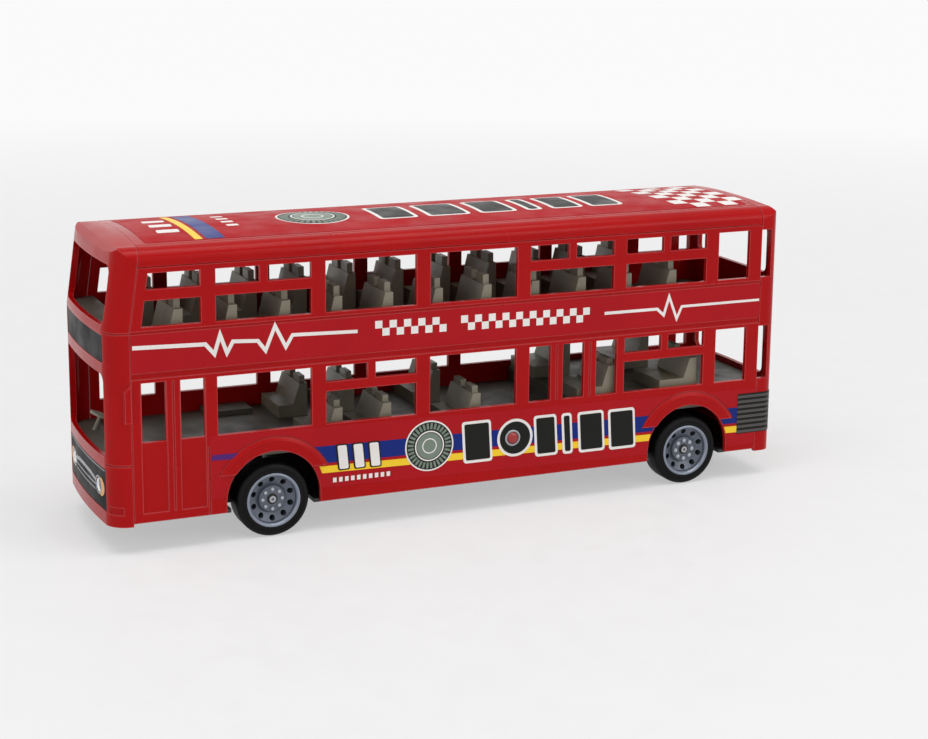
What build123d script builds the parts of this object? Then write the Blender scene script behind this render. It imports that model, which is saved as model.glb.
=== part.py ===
from build123d import *
import os
from math import cos, radians, sin, tan

os.makedirs("parts", exist_ok=True)

# A plastic toy bus with two decks and open window holes.
# Millimetres, +X to the front, +Y to the side with the doors, +Z up, ground at zero.

# Driving dimensions of the body
body_length = 280.0
body_width = 68.0
roof_height = 114.0
bumper_height = 10.5
skirt_height = 11.7
belt_height = 82.0
band_height = 66.1
wall_top_drop = 8.5
shoulder_drop_height = 7.0
roof_crown = 1.6
roof_panel_margin = 6.0
wall = 1.8
panel_gap = 0.2
fit_gap = 0.1
overrun = 5.0

# Shape of the two ends
front_cap_depth = 10.0
rear_cap_depth = 9.0
nose_lean = radians(8.2)
nose_rake = tan(nose_lean)
nose_corner_radius = 8.0
nose_crown = 1.2
corner_facets = 8
tail_corner_radius = 5.0
tail_crown = 0.6
brow_drop = 8.0
brow_depth = 8.0
brow_tilt = 0.4
tail_brow_depth = 6.0

# Window bays, counted rearwards from the post behind the front door
bay_start = 31.8
bay_pitch = 41.8
bay_width = 36.2
end_bay_width = 14.4
bay_count = 5
front_post = 4.0
hopper_post = 3.2
upper_sill_rise = 2.0
upper_head_drop = 2.1
upper_hopper_shares = (0.49, 0.696)
lower_sill = 41.5
lower_hopper_low = 54.0
lower_hopper_high = 57.6
lower_head = 63.6
relief = 0.4
groove_width = 0.6
belt_groove_width = 1.1
band_groove_width = 2.2
step_height = 25.2
door_post_start = 28.4
step_end = 72.0

# Doors on the left side
front_door_start = 3.5
leaf_width = 9.4
leaf_pitch = 14.4
leaf_count = 2
leaf_low = 15.0
centre_door_pitch = 14.6
centre_door_count = 3
centre_pane_width = 9.2
centre_post_rear = 1.2

# Wheels, axles and arches
front_overhang = 63.0
rear_overhang = 41.0
wheel_radius = 14.1
wheel_width = 11.0
wheel_inset = 0.6
axle_radius = 1.25
axle_play = 0.05
arch_radius = 18.2
arch_rise = 1.2
flare_radius = 23.4
flare_proud = 0.7
flare_low = 26.0
rim_radius = 10.4
dish_radius = 9.3
disc_radius = 4.9
dish_depth = 3.0
disc_depth = 1.4
shoulder_drop = 0.6
shoulder_width = 0.7
tyre_bead = 0.3

# Base plate
plate_low = 11.0
plate_thickness = 1.4
saddle_width = 4.0
saddle_length = 8.0
saddle_cover = 1.6
wheel_clearance = 2.0
side_play = 0.3
battery_length = 46.0
battery_width = 34.0
battery_recess = 0.7

# Decks and seats
lower_deck_low = 31.6
upper_deck_low = 69.0
deck_thickness = 1.6
upper_row_count = 11
upper_row_pitch = 20.3
lower_row_shares = (1.18, 1.65, 2.54)
platform_row_shares = (3.95, 4.84)
lower_seat_share = 0.714
seat_width = 22.0
seat_side_gap = 1.2
seat_cushion_height = 7.0
seat_cushion_length = 12.0
bench_cushion_length = 17.0
seat_back_height = 18.5
seat_back_foot = 6.0
seat_back_top = 3.2
headrest_height = 3.6
headrest_width = 7.0
headrest_depth = 2.4
platform_height = 5.8
wheel_box_height = 2.0
shelf_length = 12.0
shelf_drop = 1.5

# Steering wheel on the right, on the shelf behind the lower windscreen
steering_setback = 8.0
steering_offset = 16.0
steering_lean = radians(25)
column_length = 5.5
column_radius = 0.9
steering_radius = 4.4
steering_sides = 20
steering_rim = 0.8

# Windscreens, sign and lamps
screen_margin = 6.0
upper_screen_low = 84.5
lower_screen_low = 35.8
lower_screen_high = 66.6
screen_radius = 3.0
rear_screen_margin = 7.0
corner_pane_length = 4.6
sign_low = 70.8
sign_high = 81.0
grille_low = 15.5
grille_high = 31.5
inlay_depth = 0.7
inlay_sink = 0.2
lamp_radius = 2.7
lamp_margin = 15.0
lamp_height = 23.5
lamp_length = 3.0
lens_chamfer = 0.4
tail_lamp_width = 4.0
tail_lamp_height = 12.0
tail_lamp_margin = 8.0
tail_lamp_low = 24.0
cap_groove_height = 33.4
slot_low = 15.1
slot_height = 2.8
slot_reach = 6.5
slot_margin = 5.0

# Mirror pads and the push button
mirror_low = 49.5
mirror_high = 63.0
mirror_length = 2.4
mirror_proud = 1.1
mirror_slope = 2.0
button_back = 150.4
button_height = 28.0
button_radius = 2.3
button_ring_radius = 3.3
button_proud = 0.6
button_stem = 4.0

half_length = body_length / 2
half_width = body_width / 2
wall_top_height = roof_height - wall_top_drop
shoulder_height = roof_height - shoulder_drop_height
roof_edge_height = roof_height - roof_crown
brow_height = roof_height - brow_drop
roof_half = half_width - roof_panel_margin
screen_half_width = half_width - screen_margin
rear_screen_half_width = half_width - rear_screen_margin
upper_sill = belt_height + upper_sill_rise
upper_head = wall_top_height - upper_head_drop
upper_hopper_low, upper_hopper_high = [upper_sill + (upper_head - upper_sill) * share
                                       for share in upper_hopper_shares]
upper_screen_high = brow_height
front_seam = half_length - front_cap_depth
rear_seam = rear_cap_depth - half_length
front_axle_x = half_length - front_overhang
rear_axle_x = rear_overhang - half_length
wheel_face = half_width - wheel_inset
wheel_inner = wheel_face - wheel_width
lower_floor = lower_deck_low + deck_thickness
upper_floor = upper_deck_low + deck_thickness
plate_top = plate_low + plate_thickness
lower_shelf_top = lower_screen_low - shelf_drop
upper_shelf_top = upper_screen_low - shelf_drop


def nose_x(height):
    """Front end of the body at a height, on the centre line."""
    return half_length - nose_rake * max(0, height - belt_height)


def seam_x(height):
    """Joint between the front cap and the sides, which leans with the nose."""
    return nose_x(height) - front_cap_depth


def from_seam(distance):
    """X of a place measured rearwards from the foot of the front joint."""
    return front_seam - distance


def side_plane(side, distance):
    """Upright plane along the bus, at a distance to the left (1) or right (-1)."""
    return Plane.XZ.offset(-side * distance)


def end_outline(tip, inset, corner_radius, crown):
    """Plan of the body from its middle to a rounded front or rear end at tip."""
    facing = 1 if tip > 0 else -1
    side = half_width - inset
    edge = tip - facing * crown
    corner_start = edge - facing * corner_radius
    flat = side - corner_radius
    with BuildLine() as outline:
        Polyline((corner_start, side), (0, side), (0, -side), (corner_start, -side))
        TangentArc((corner_start, side), (edge, flat), tangent=(facing, 0))
        TangentArc((corner_start, -side), (edge, -flat), tangent=(facing, 0))
        ThreePointArc((edge, flat), (tip, 0), (edge, -flat))
    make_face(outline.edges())


def faceted_outline(inset):
    """Plan of the front over the belt, with each round corner in narrow facets."""
    edge = half_length - inset - nose_crown
    flat = half_width - inset - nose_corner_radius
    turns = [radians(90) * step / corner_facets for step in range(corner_facets + 1)]
    corner = [(edge - nose_corner_radius * (1 - sin(turn)), flat + nose_corner_radius * cos(turn))
              for turn in turns]
    opposite = [(x, -y) for x, y in corner]
    with BuildLine() as outline:
        Polyline(*corner[::-1], (0, corner[0][1]), (0, opposite[0][1]), *opposite)
        ThreePointArc(corner[-1], (half_length - inset, 0), opposite[-1])
    make_face(outline.edges())


def envelope(inset, low):
    """Solid inside the body's outer skin, moved inwards by inset."""
    side = half_width - inset
    top = roof_height - inset
    edge_top = roof_edge_height - inset
    above = roof_height + overrun
    with BuildPart() as volume:
        with BuildSketch(Plane.XY.offset(low)):
            end_outline(inset - half_length, inset, tail_corner_radius, tail_crown)
        extrude(amount=above - low)
        with BuildSketch(Plane.XY.offset(low)):
            end_outline(half_length - inset, inset, nose_corner_radius, nose_crown)
        extrude(amount=belt_height - low)
        with BuildSketch(Plane.XY.offset(belt_height)):
            faceted_outline(inset)
        extrude(amount=(above - belt_height) / cos(nose_lean), dir=(-sin(nose_lean), 0, cos(nose_lean)))
        # Rounded shoulders and a crowned roof, seen from the front
        with BuildSketch(Plane.YZ):
            with BuildLine():
                Polyline((side, shoulder_height), (side, 0), (-side, 0), (-side, shoulder_height))
                TangentArc((side, shoulder_height), (roof_half, edge_top), tangent=(0, 1))
                TangentArc((-side, shoulder_height), (-roof_half, edge_top), tangent=(0, 1))
                ThreePointArc((roof_half, edge_top), (0, top), (-roof_half, edge_top))
            make_face()
        extrude(amount=body_length, both=True, mode=Mode.INTERSECT)
        # Rounded brows over the front and rear, seen from the side
        front = nose_x(brow_height) - inset
        rear = inset - half_length
        front_top = (front - brow_depth, top)
        rear_top = (rear + tail_brow_depth, top)
        front_foot = (front + nose_crown, brow_height)
        rear_foot = (rear - tail_crown, brow_height)
        with BuildSketch(Plane.XZ):
            with BuildLine():
                Polyline(front_top, (front_top[0], above), (rear_top[0], above), rear_top)
                TangentArc(front_foot, front_top, tangent=(-brow_tilt, 1))
                TangentArc(rear_foot, rear_top, tangent=(brow_tilt, 1))
                Polyline(front_foot, (body_length, brow_height), (body_length, 0),
                         (-body_length, 0), (-body_length, brow_height), rear_foot)
            make_face()
        extrude(amount=body_width, both=True, mode=Mode.INTERSECT)
    return volume.part


outer_volume = envelope(0, bumper_height)
cavity = envelope(wall + fit_gap, bumper_height - overrun)

with BuildPart() as body_shell:
    add(outer_volume)
    add(envelope(wall, bumper_height - overrun), mode=Mode.SUBTRACT)


def keep_side_region(low, high):
    """Keep what lies between the front and rear joints and two heights."""
    gap = panel_gap / 2
    corners = [(rear_seam + gap, low), (seam_x(low) - gap, low)]
    if low < belt_height:
        corners.append((seam_x(belt_height) - gap, belt_height))
    corners += [(seam_x(high) - gap, high), (rear_seam + gap, high)]
    with BuildSketch(Plane.XZ) as region:
        Polygon(*corners, align=None)
    extrude(region.sketch, amount=body_width, both=True, mode=Mode.INTERSECT)


def bay_ends(bay):
    """Front and rear X of a window bay."""
    front = from_seam(bay_start + bay * bay_pitch)
    width = end_bay_width if bay == bay_count else bay_width
    return front, front - width


def pane(front_low, front_high, rear, low, high):
    """One window hole as seen from the side, its front edge free to lean."""
    Polygon((rear, low), (front_low, low), (front_high, high), (rear, high), align=None)


def bay_panes(style, bay, sill, hopper_low, hopper_high, head):
    """Window holes of one bay: open from sill to head, or split by a hopper bar."""
    front, rear = bay_ends(bay)
    if style == "open":
        pane(front, front, rear, sill, head)
        return
    middle = (front + rear) / 2
    pane(front, front, rear, sill, hopper_low)
    pane(front, front, middle + hopper_post / 2, hopper_high, head)
    pane(middle - hopper_post / 2, middle - hopper_post / 2, rear, hopper_high, head)


# Styles of the bays, from the front: upper deck, then lower deck left and right
upper_styles = ("split", "open", "open", "split", "split", "open")
left_styles = ("open", "split", "open", "doors", "split", "open")
right_styles = ("open", "split", "open", "split", "split", "open")
upper_rows = (upper_sill, upper_hopper_low, upper_hopper_high, upper_head)
lower_rows = (lower_sill, lower_hopper_low, lower_hopper_high, lower_head)


def cut_outwards(outline, side):
    """Cut a side sketch outwards from where it lies."""
    extrude(outline.sketch, amount=-side * body_width, mode=Mode.SUBTRACT)


def cut_windows(side, styles):
    """Cut every window hole of one side through the wall."""
    with BuildSketch(side_plane(side, 0)) as holes:
        first_rear = from_seam(bay_start - (bay_pitch - bay_width))
        for low, high in ((upper_sill, upper_hopper_low), (upper_hopper_high, upper_head)):
            pane(seam_x(low) - front_post, seam_x(high) - front_post, first_rear, low, high)
        for bay, style in enumerate(upper_styles):
            bay_panes(style, bay, *upper_rows)
        for bay, style in enumerate(styles):
            if style != "doors":
                bay_panes(style, bay, *lower_rows)
    cut_outwards(holes, side)


def cut_grooves(side):
    """Crease lines over and under the band between the decks."""
    with BuildSketch(side_plane(side, half_width - relief)) as creases:
        for height, width in ((band_height, band_groove_width), (belt_height, belt_groove_width)):
            with Locations((0, height)):
                Rectangle(body_length, width)
        step_length = step_end - door_post_start
        with Locations((from_seam(door_post_start + step_length / 2), step_height)):
            Rectangle(step_length, groove_width)
        with Locations((from_seam(door_post_start), lower_sill - front_post)):
            Rectangle(groove_width, lower_sill, align=(Align.CENTER, Align.MAX))
    cut_outwards(creases, side)


def cut_arches(side):
    """Cut the wheel arches after adding their raised flares."""
    with BuildSketch(side_plane(side, half_width - wall / 2)) as flares:
        for x in (front_axle_x, rear_axle_x):
            with Locations((x, wheel_radius + arch_rise)):
                Circle(flare_radius)
        Rectangle(body_length * 2, flare_low * 2, mode=Mode.SUBTRACT)
    extrude(flares.sketch, amount=-side * (wall / 2 + flare_proud))
    with BuildSketch(side_plane(side, 0)) as arches:
        for x in (front_axle_x, rear_axle_x):
            with Locations((x, wheel_radius + arch_rise)):
                Circle(arch_radius)
            with Locations((x, 0)):
                Rectangle(arch_radius * 2, (wheel_radius + arch_rise) * 2)
    cut_outwards(arches, side)


def cut_doors(side):
    """Sunk door leaves with a window in each, and the centre entrance."""
    with BuildSketch(side_plane(side, half_width - relief)) as sunk:
        for leaf in range(leaf_count):
            x = from_seam(front_door_start + leaf * leaf_pitch + leaf_width / 2)
            with Locations((x, (leaf_low + lower_head) / 2)):
                Rectangle(leaf_width, lower_head - leaf_low)
        post_x = from_seam(front_door_start + leaf_width + (leaf_pitch - leaf_width) / 2)
        with Locations((post_x, (leaf_low + lower_head) / 2)):
            Rectangle(groove_width, lower_head - leaf_low)
        for door in range(1, centre_door_count):
            front = bay_ends(centre_bay)[0]
            groove_x = front - door * centre_door_pitch + (centre_door_pitch - centre_pane_width) / 2
            with Locations((groove_x, (lower_sill + lower_head) / 2)):
                Rectangle(groove_width, lower_head - lower_sill)
    cut_outwards(sunk, side)
    with BuildSketch(side_plane(side, 0)) as holes:
        for leaf in range(leaf_count):
            x = from_seam(front_door_start + leaf * leaf_pitch + leaf_width / 2)
            with Locations((x, (lower_sill + lower_head) / 2)):
                Rectangle(leaf_width - groove_width, lower_head - lower_sill)
        for door in range(centre_door_count):
            front = bay_ends(centre_bay)[0]
            x = front - door * centre_door_pitch - centre_pane_width / 2
            with Locations((x, (lower_sill + lower_head) / 2)):
                Rectangle(centre_pane_width, lower_head - lower_sill)
    cut_outwards(holes, side)


centre_bay = left_styles.index("doors")
button_x = from_seam(button_back)

with BuildPart() as body_side_left:
    add(body_shell.part)
    keep_side_region(skirt_height, wall_top_height - panel_gap / 2)
    with BuildSketch(Plane.XZ):
        Rectangle(body_length * 2, roof_height * 2)
    extrude(amount=-body_width, mode=Mode.INTERSECT)
    cut_grooves(1)
    cut_arches(1)
    cut_doors(1)
    cut_windows(1, left_styles)
    with BuildSketch(side_plane(1, 0)):
        with Locations((button_x, button_height)):
            Circle(button_ring_radius)
    extrude(amount=-body_width, mode=Mode.SUBTRACT)
body_side_left.part.label = "body_side_left"

with BuildPart() as body_side_right:
    add(body_shell.part)
    keep_side_region(skirt_height, wall_top_height - panel_gap / 2)
    with BuildSketch(Plane.XZ):
        Rectangle(body_length * 2, roof_height * 2)
    extrude(amount=body_width, mode=Mode.INTERSECT)
    cut_grooves(-1)
    cut_arches(-1)
    with BuildSketch(side_plane(-1, 0)) as driver_window:
        first_rear = from_seam(bay_start - (bay_pitch - bay_width))
        pane(seam_x(lower_sill) - front_post, seam_x(lower_head) - front_post, first_rear,
             lower_sill, lower_head)
    extrude(amount=body_width, mode=Mode.SUBTRACT)
    cut_windows(-1, right_styles)
body_side_right.part.label = "body_side_right"

# The roof carries the rounded shoulders, and a raised panel outlined by a groove
with BuildPart() as roof:
    add(body_shell.part)
    keep_side_region(wall_top_height + panel_gap / 2, roof_height + overrun)
    with BuildSketch(Plane.XY.offset(roof_edge_height - relief)):
        for side in (1, -1):
            with Locations((0, side * (roof_half - groove_width / 2))):
                Rectangle(body_length, groove_width)
    extrude(amount=roof_height, mode=Mode.SUBTRACT)
roof.part.label = "roof"


def skin_panel(low, high, half_span, shrink):
    """Thin inlay that follows the nose, sunk a little into the front cap."""
    with BuildPart() as panel:
        add(envelope(inlay_sink, bumper_height))
        add(envelope(inlay_depth, bumper_height - overrun), mode=Mode.SUBTRACT)
        with BuildSketch(Plane.YZ):
            with Locations((0, (low + high) / 2)):
                Rectangle((half_span - shrink) * 2, high - low - shrink * 2)
        extrude(amount=body_length, mode=Mode.INTERSECT)
    return panel.part


def lamp_places():
    """Centres of the two headlamps on the nose, one each side."""
    return [(side * (half_width - lamp_margin), lamp_height) for side in (1, -1)]


inlays = (("sign_panel", sign_low, sign_high), ("grille_panel", grille_low, grille_high))

with BuildPart() as front_cap:
    add(body_shell.part)
    with BuildSketch(Plane.XZ):
        with BuildLine():
            gap = panel_gap / 2
            Polyline((seam_x(bumper_height) + gap, 0), (seam_x(bumper_height) + gap, bumper_height),
                     (seam_x(belt_height) + gap, belt_height),
                     (seam_x(roof_height) + gap, roof_height), (seam_x(roof_height) + gap, body_length),
                     (body_length, body_length), (body_length, 0), close=True)
        make_face()
    extrude(amount=body_width, both=True, mode=Mode.INTERSECT)
    # Windscreens
    for low, high in ((upper_screen_low, upper_screen_high), (lower_screen_low, lower_screen_high)):
        with BuildSketch(Plane.YZ.offset(front_seam - front_cap_depth)) as screen:
            with Locations((0, (low + high) / 2)):
                RectangleRounded(screen_half_width * 2, high - low, screen_radius)
        extrude(amount=body_length, mode=Mode.SUBTRACT)
    # Sunk beds of the sign and the grille
    for name, low, high in inlays:
        with BuildPart(mode=Mode.PRIVATE) as bed:
            add(outer_volume)
            add(envelope(inlay_depth, bumper_height - overrun), mode=Mode.SUBTRACT)
            with BuildSketch(Plane.YZ):
                with Locations((0, (low + high) / 2)):
                    Rectangle(screen_half_width * 2, high - low)
            extrude(amount=body_length, mode=Mode.INTERSECT)
        add(bed.part, mode=Mode.SUBTRACT)
    # Crease lines round the corners, and a slot low on each corner
    with BuildPart(mode=Mode.PRIVATE) as creases:
        add(outer_volume)
        add(envelope(relief, bumper_height - overrun), mode=Mode.SUBTRACT)
        with BuildSketch(Plane.XZ):
            for height in (cap_groove_height, belt_height):
                with Locations((0, height)):
                    Rectangle(body_length * 2, groove_width)
            with Locations((half_length, slot_low)):
                Rectangle(slot_reach * 2, slot_height, align=(Align.CENTER, Align.MIN))
        extrude(amount=body_width, both=True, mode=Mode.INTERSECT)
        with BuildSketch(Plane.YZ):
            with Locations((0, slot_low)):
                Rectangle((half_width - slot_margin) * 2, slot_height, align=(Align.CENTER, Align.MIN))
            with Locations((0, cap_groove_height)):
                Rectangle(screen_half_width * 2, groove_width)
            with Locations((0, belt_height)):
                Rectangle(screen_half_width * 2, groove_width)
        extrude(amount=body_length, mode=Mode.SUBTRACT)
    add(creases.part, mode=Mode.SUBTRACT)
    # Mirror pads
    for side in (1, -1):
        with BuildSketch(side_plane(side, half_width - wall / 2)):
            with BuildLine():
                rear = seam_x(mirror_high) + panel_gap
                Polyline((rear, mirror_low), (rear + mirror_length, mirror_low),
                         (rear + mirror_length, mirror_high - mirror_slope), (rear, mirror_high),
                         close=True)
            make_face()
        extrude(amount=-side * (wall / 2 + mirror_proud))
    with BuildSketch(Plane.YZ.offset(front_seam)):
        with Locations(*lamp_places()):
            Circle(lamp_radius)
    extrude(amount=body_length, mode=Mode.SUBTRACT)
front_cap.part.label = "front_cap"

with BuildPart() as rear_cap:
    add(body_shell.part)
    with BuildSketch(Plane.XZ):
        with Locations((rear_seam - panel_gap / 2, 0)):
            Rectangle(body_length, body_length, align=(Align.MAX, Align.MIN))
    extrude(amount=body_width, both=True, mode=Mode.INTERSECT)
    for low, high in ((upper_sill, upper_head), (lower_sill, lower_head)):
        with BuildSketch(Plane.YZ.offset(rear_seam)):
            with Locations((0, (low + high) / 2)):
                RectangleRounded(rear_screen_half_width * 2, high - low, screen_radius)
        extrude(amount=-body_length, mode=Mode.SUBTRACT)
        with BuildSketch(Plane.XZ):
            with Locations((rear_seam, (low + high) / 2)):
                Rectangle(corner_pane_length, high - low, align=(Align.MAX, Align.CENTER))
        extrude(amount=body_width, both=True, mode=Mode.SUBTRACT)
rear_cap.part.label = "rear_cap"

with BuildPart() as sign_panel:
    add(skin_panel(sign_low, sign_high, screen_half_width, fit_gap))
sign_panel.part.label = "sign_panel"

with BuildPart() as grille_panel:
    add(skin_panel(grille_low, grille_high, screen_half_width, fit_gap))
    with BuildSketch(Plane.YZ.offset(front_seam)):
        with Locations(*lamp_places()):
            Circle(lamp_radius)
    extrude(amount=body_length, mode=Mode.SUBTRACT)
grille_panel.part.label = "grille_panel"


def headlamp(side):
    """Lens with a domed face, seated in its hole."""
    reach = nose_x(lamp_height) - nose_crown / 2
    with BuildPart() as lens:
        with BuildSketch(Plane.YZ.offset(reach - lamp_length)):
            with Locations((side * (half_width - lamp_margin), lamp_height)):
                Circle(lamp_radius - fit_gap / 2)
        extrude(amount=lamp_length)
        chamfer(lens.faces().sort_by(Axis.X)[-1].edges(), lens_chamfer)
    return lens.part


with BuildPart() as headlamp_left:
    add(headlamp(1))
headlamp_left.part.label = "headlamp_left"

with BuildPart() as headlamp_right:
    add(headlamp(-1))
headlamp_right.part.label = "headlamp_right"


def tail_lamp(side):
    """Raised red lamp on the rear panel."""
    with BuildPart() as lamp:
        add(envelope(-inlay_sink, bumper_height))
        add(outer_volume, mode=Mode.SUBTRACT)
        with BuildSketch(Plane.YZ):
            with Locations((side * (half_width - tail_lamp_margin), tail_lamp_low)):
                Rectangle(tail_lamp_width, tail_lamp_height, align=(Align.CENTER, Align.MIN))
        extrude(amount=-body_length, mode=Mode.INTERSECT)
    return lamp.part


with BuildPart() as tail_lamp_left:
    add(tail_lamp(1))
tail_lamp_left.part.label = "tail_lamp_left"

with BuildPart() as tail_lamp_right:
    add(tail_lamp(-1))
tail_lamp_right.part.label = "tail_lamp_right"

# Push button in a ring on the left side
with BuildPart() as button_ring:
    with BuildSketch(side_plane(1, half_width - wall)):
        with Locations((button_x, button_height)):
            Circle(button_ring_radius)
            Circle(button_radius + fit_gap, mode=Mode.SUBTRACT)
    extrude(amount=-(wall + relief))
button_ring.part.label = "button_ring"

with BuildPart() as push_button:
    with BuildSketch(side_plane(1, half_width - button_stem)):
        with Locations((button_x, button_height)):
            Circle(button_radius)
    extrude(amount=-(button_stem + button_proud))
    chamfer(push_button.faces().sort_by(Axis.Y)[-1].edges(), button_proud / 2)
    with BuildSketch(side_plane(1, half_width - button_stem)):
        with Locations((button_x, button_height)):
            Circle(button_ring_radius)
    extrude(amount=-(button_stem - wall - fit_gap))
push_button.part.label = "push_button"


def deck_slab(low, height):
    """Part of the cavity between two heights."""
    add(cavity)
    with BuildSketch(Plane.XY.offset(low)) as slab:
        Rectangle(body_length * 2, body_width * 2)
    extrude(slab.sketch, amount=height, mode=Mode.INTERSECT)


with BuildPart() as lower_deck:
    deck_slab(lower_deck_low, lower_deck_low)
    with BuildSketch(Plane.XZ):
        with BuildLine():
            platform_front = bay_ends(centre_bay)[1] + end_bay_width
            shelf_rear = nose_x(lower_screen_low) - shelf_length
            low = lower_deck_low - overrun
            Polyline((-body_length, low), (-body_length, lower_floor + platform_height),
                     (platform_front, lower_floor + platform_height), (platform_front, lower_floor),
                     (shelf_rear, lower_floor), (shelf_rear, lower_shelf_top),
                     (body_length, lower_shelf_top), (body_length, low), close=True)
        make_face()
    extrude(amount=body_width, both=True, mode=Mode.INTERSECT)
    # Low boxes over the front wheels
    for side in (1, -1):
        with BuildSketch(side_plane(side, wheel_inner - wheel_clearance)):
            with Locations((front_axle_x, lower_floor)):
                Rectangle(arch_radius, wheel_box_height, align=(Align.CENTER, Align.MIN))
        extrude(amount=-side * (half_width - wall - fit_gap - wheel_inner + wheel_clearance))
lower_deck.part.label = "lower_deck"

with BuildPart() as upper_deck:
    deck_slab(upper_deck_low, upper_deck_low)
    with BuildSketch(Plane.XZ):
        with BuildLine():
            shelf_rear = nose_x(upper_screen_low) - shelf_length
            low = upper_deck_low - overrun
            Polyline((-body_length, low), (-body_length, upper_floor), (shelf_rear, upper_floor),
                     (shelf_rear, upper_shelf_top), (body_length, upper_shelf_top),
                     (body_length, low), close=True)
        make_face()
    extrude(amount=body_width, both=True, mode=Mode.INTERSECT)
upper_deck.part.label = "upper_deck"


def seat_row(rear, floor, cushion_length, share):
    """A double seat each side of the aisle, its height a share of an upper seat's."""
    side_offset = half_width - wall - seat_side_gap - seat_width / 2
    back_top = floor + seat_back_height * share
    cushion_top = floor + seat_cushion_height * share
    for side in (1, -1):
        with BuildSketch(side_plane(side, side_offset - seat_width / 2)) as profile:
            Polygon((rear, floor), (rear + cushion_length, floor),
                    (rear + cushion_length, cushion_top),
                    (rear + seat_back_foot, cushion_top),
                    (rear + seat_back_top, back_top), (rear, back_top), align=None)
        extrude(profile.sketch, amount=-side * seat_width)
        with BuildSketch(Plane.XY.offset(back_top)) as headrests:
            for half in (1, -1):
                with Locations((rear + seat_back_top / 2, side * side_offset + half * seat_width / 4)):
                    Rectangle(headrest_depth, headrest_width)
        extrude(headrests.sketch, amount=headrest_height * share)


with BuildPart() as upper_seats:
    for row in range(upper_row_count):
        seat_row(from_seam(upper_row_pitch * (row + 1)), upper_floor, seat_cushion_length, 1)
upper_seats.part.label = "upper_seats"

with BuildPart() as lower_seats:
    for share in lower_row_shares:
        seat_row(from_seam(bay_start + bay_pitch * share), lower_floor, seat_cushion_length,
                 lower_seat_share)
    for share in platform_row_shares:
        seat_row(from_seam(bay_start + bay_pitch * share), lower_floor + platform_height,
                 bench_cushion_length, lower_seat_share)
lower_seats.part.label = "lower_seats"

# Ring with one cross spoke on a leaning column
with BuildPart() as steering_wheel:
    lean_plane = Plane(origin=(half_length - steering_setback, -steering_offset, lower_shelf_top),
                       z_dir=(-sin(steering_lean), 0, cos(steering_lean)))
    with BuildSketch(lean_plane):
        Circle(column_radius)
    extrude(amount=column_length, both=True)
    with BuildSketch(lean_plane.offset(column_length)):
        RegularPolygon(steering_radius, steering_sides)
        RegularPolygon(steering_radius - steering_rim, steering_sides, mode=Mode.SUBTRACT)
        Rectangle((steering_radius - steering_rim) * 2, steering_rim)
    extrude(amount=steering_rim)
    with BuildSketch(Plane.XY.offset(lower_shelf_top)):
        Rectangle(body_length * 2, body_width * 2)
    extrude(amount=-column_length * 2, mode=Mode.SUBTRACT)
steering_wheel.part.label = "steering_wheel"

# Base plate with saddles that carry the axles
with BuildPart() as base_plate:
    add(cavity)
    with BuildSketch(Plane.XY.offset(plate_low)):
        Rectangle(body_length * 2, body_width * 2)
    extrude(amount=plate_thickness, mode=Mode.INTERSECT)
    with BuildSketch(Plane.XY):
        for x in (front_axle_x, rear_axle_x):
            for side in (1, -1):
                with Locations((x, side * half_width)):
                    Rectangle((wheel_radius + wheel_clearance) * 2,
                              (half_width - wheel_inner + wheel_clearance) * 2)
    extrude(amount=plate_low * 2, mode=Mode.SUBTRACT)
    saddle_outer = wheel_inner - wheel_clearance - side_play
    with BuildSketch(Plane.XY.offset(plate_top)):
        for x in (front_axle_x, rear_axle_x):
            for side in (1, -1):
                with Locations((x, side * (saddle_outer - saddle_width / 2))):
                    Rectangle(saddle_length, saddle_width)
    extrude(amount=wheel_radius + axle_radius + saddle_cover - plate_top)
    with BuildSketch(Plane.XZ):
        with Locations(*[(x, wheel_radius) for x in (front_axle_x, rear_axle_x)]):
            Circle(axle_radius + axle_play)
    extrude(amount=body_width, both=True, mode=Mode.SUBTRACT)
    with BuildSketch(Plane.XY.offset(plate_low)):
        with Locations(((front_axle_x + rear_axle_x) / 2, 0)):
            Rectangle(battery_length, battery_width)
    extrude(amount=battery_recess, mode=Mode.SUBTRACT)
base_plate.part.label = "base_plate"

with BuildPart() as battery_cover:
    with BuildSketch(Plane.XY.offset(plate_low)):
        with Locations(((front_axle_x + rear_axle_x) / 2, 0)):
            Rectangle(battery_length - fit_gap * 2, battery_width - fit_gap * 2)
    extrude(amount=battery_recess)
battery_cover.part.label = "battery_cover"


def axle(x):
    """Plain steel rod across the bus, pressed into both hubs."""
    reach = wheel_face - disc_depth
    with BuildPart() as rod:
        with BuildSketch(Plane.XZ.offset(-reach)):
            with Locations((x, wheel_radius)):
                Circle(axle_radius)
        extrude(amount=reach * 2)
    return rod.part


def turned(x, side, rows):
    """Solid of revolution about the axle from rows of depth behind the face and radius."""
    section = Plane(origin=(x, 0, wheel_radius), x_dir=(0, side, 0), z_dir=(side, 0, 0))
    with BuildPart() as ring:
        with BuildSketch(section):
            with BuildLine():
                Polyline(*[(wheel_face - depth, radius) for depth, radius in rows], close=True)
            make_face()
        revolve(axis=Axis((x, 0, wheel_radius), (0, 1, 0)))
    return ring.part


def hub(x, side):
    """Dished hub with a flat lip and a raised centre disc, pressed on the axle."""
    return turned(x, side, (
        (wheel_width, axle_radius), (disc_depth, axle_radius), (disc_depth, disc_radius),
        (dish_depth, disc_radius), (dish_depth, dish_radius), (0, dish_radius),
        (0, rim_radius), (wheel_width, rim_radius)))


def tyre(x, side):
    """Smooth tyre with a chamfered shoulder, stretched on the rim."""
    return turned(x, side, (
        (tyre_bead, rim_radius), (tyre_bead, wheel_radius - shoulder_drop),
        (tyre_bead + shoulder_width, wheel_radius), (wheel_width - tyre_bead, wheel_radius),
        (wheel_width - tyre_bead, rim_radius)))


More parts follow.
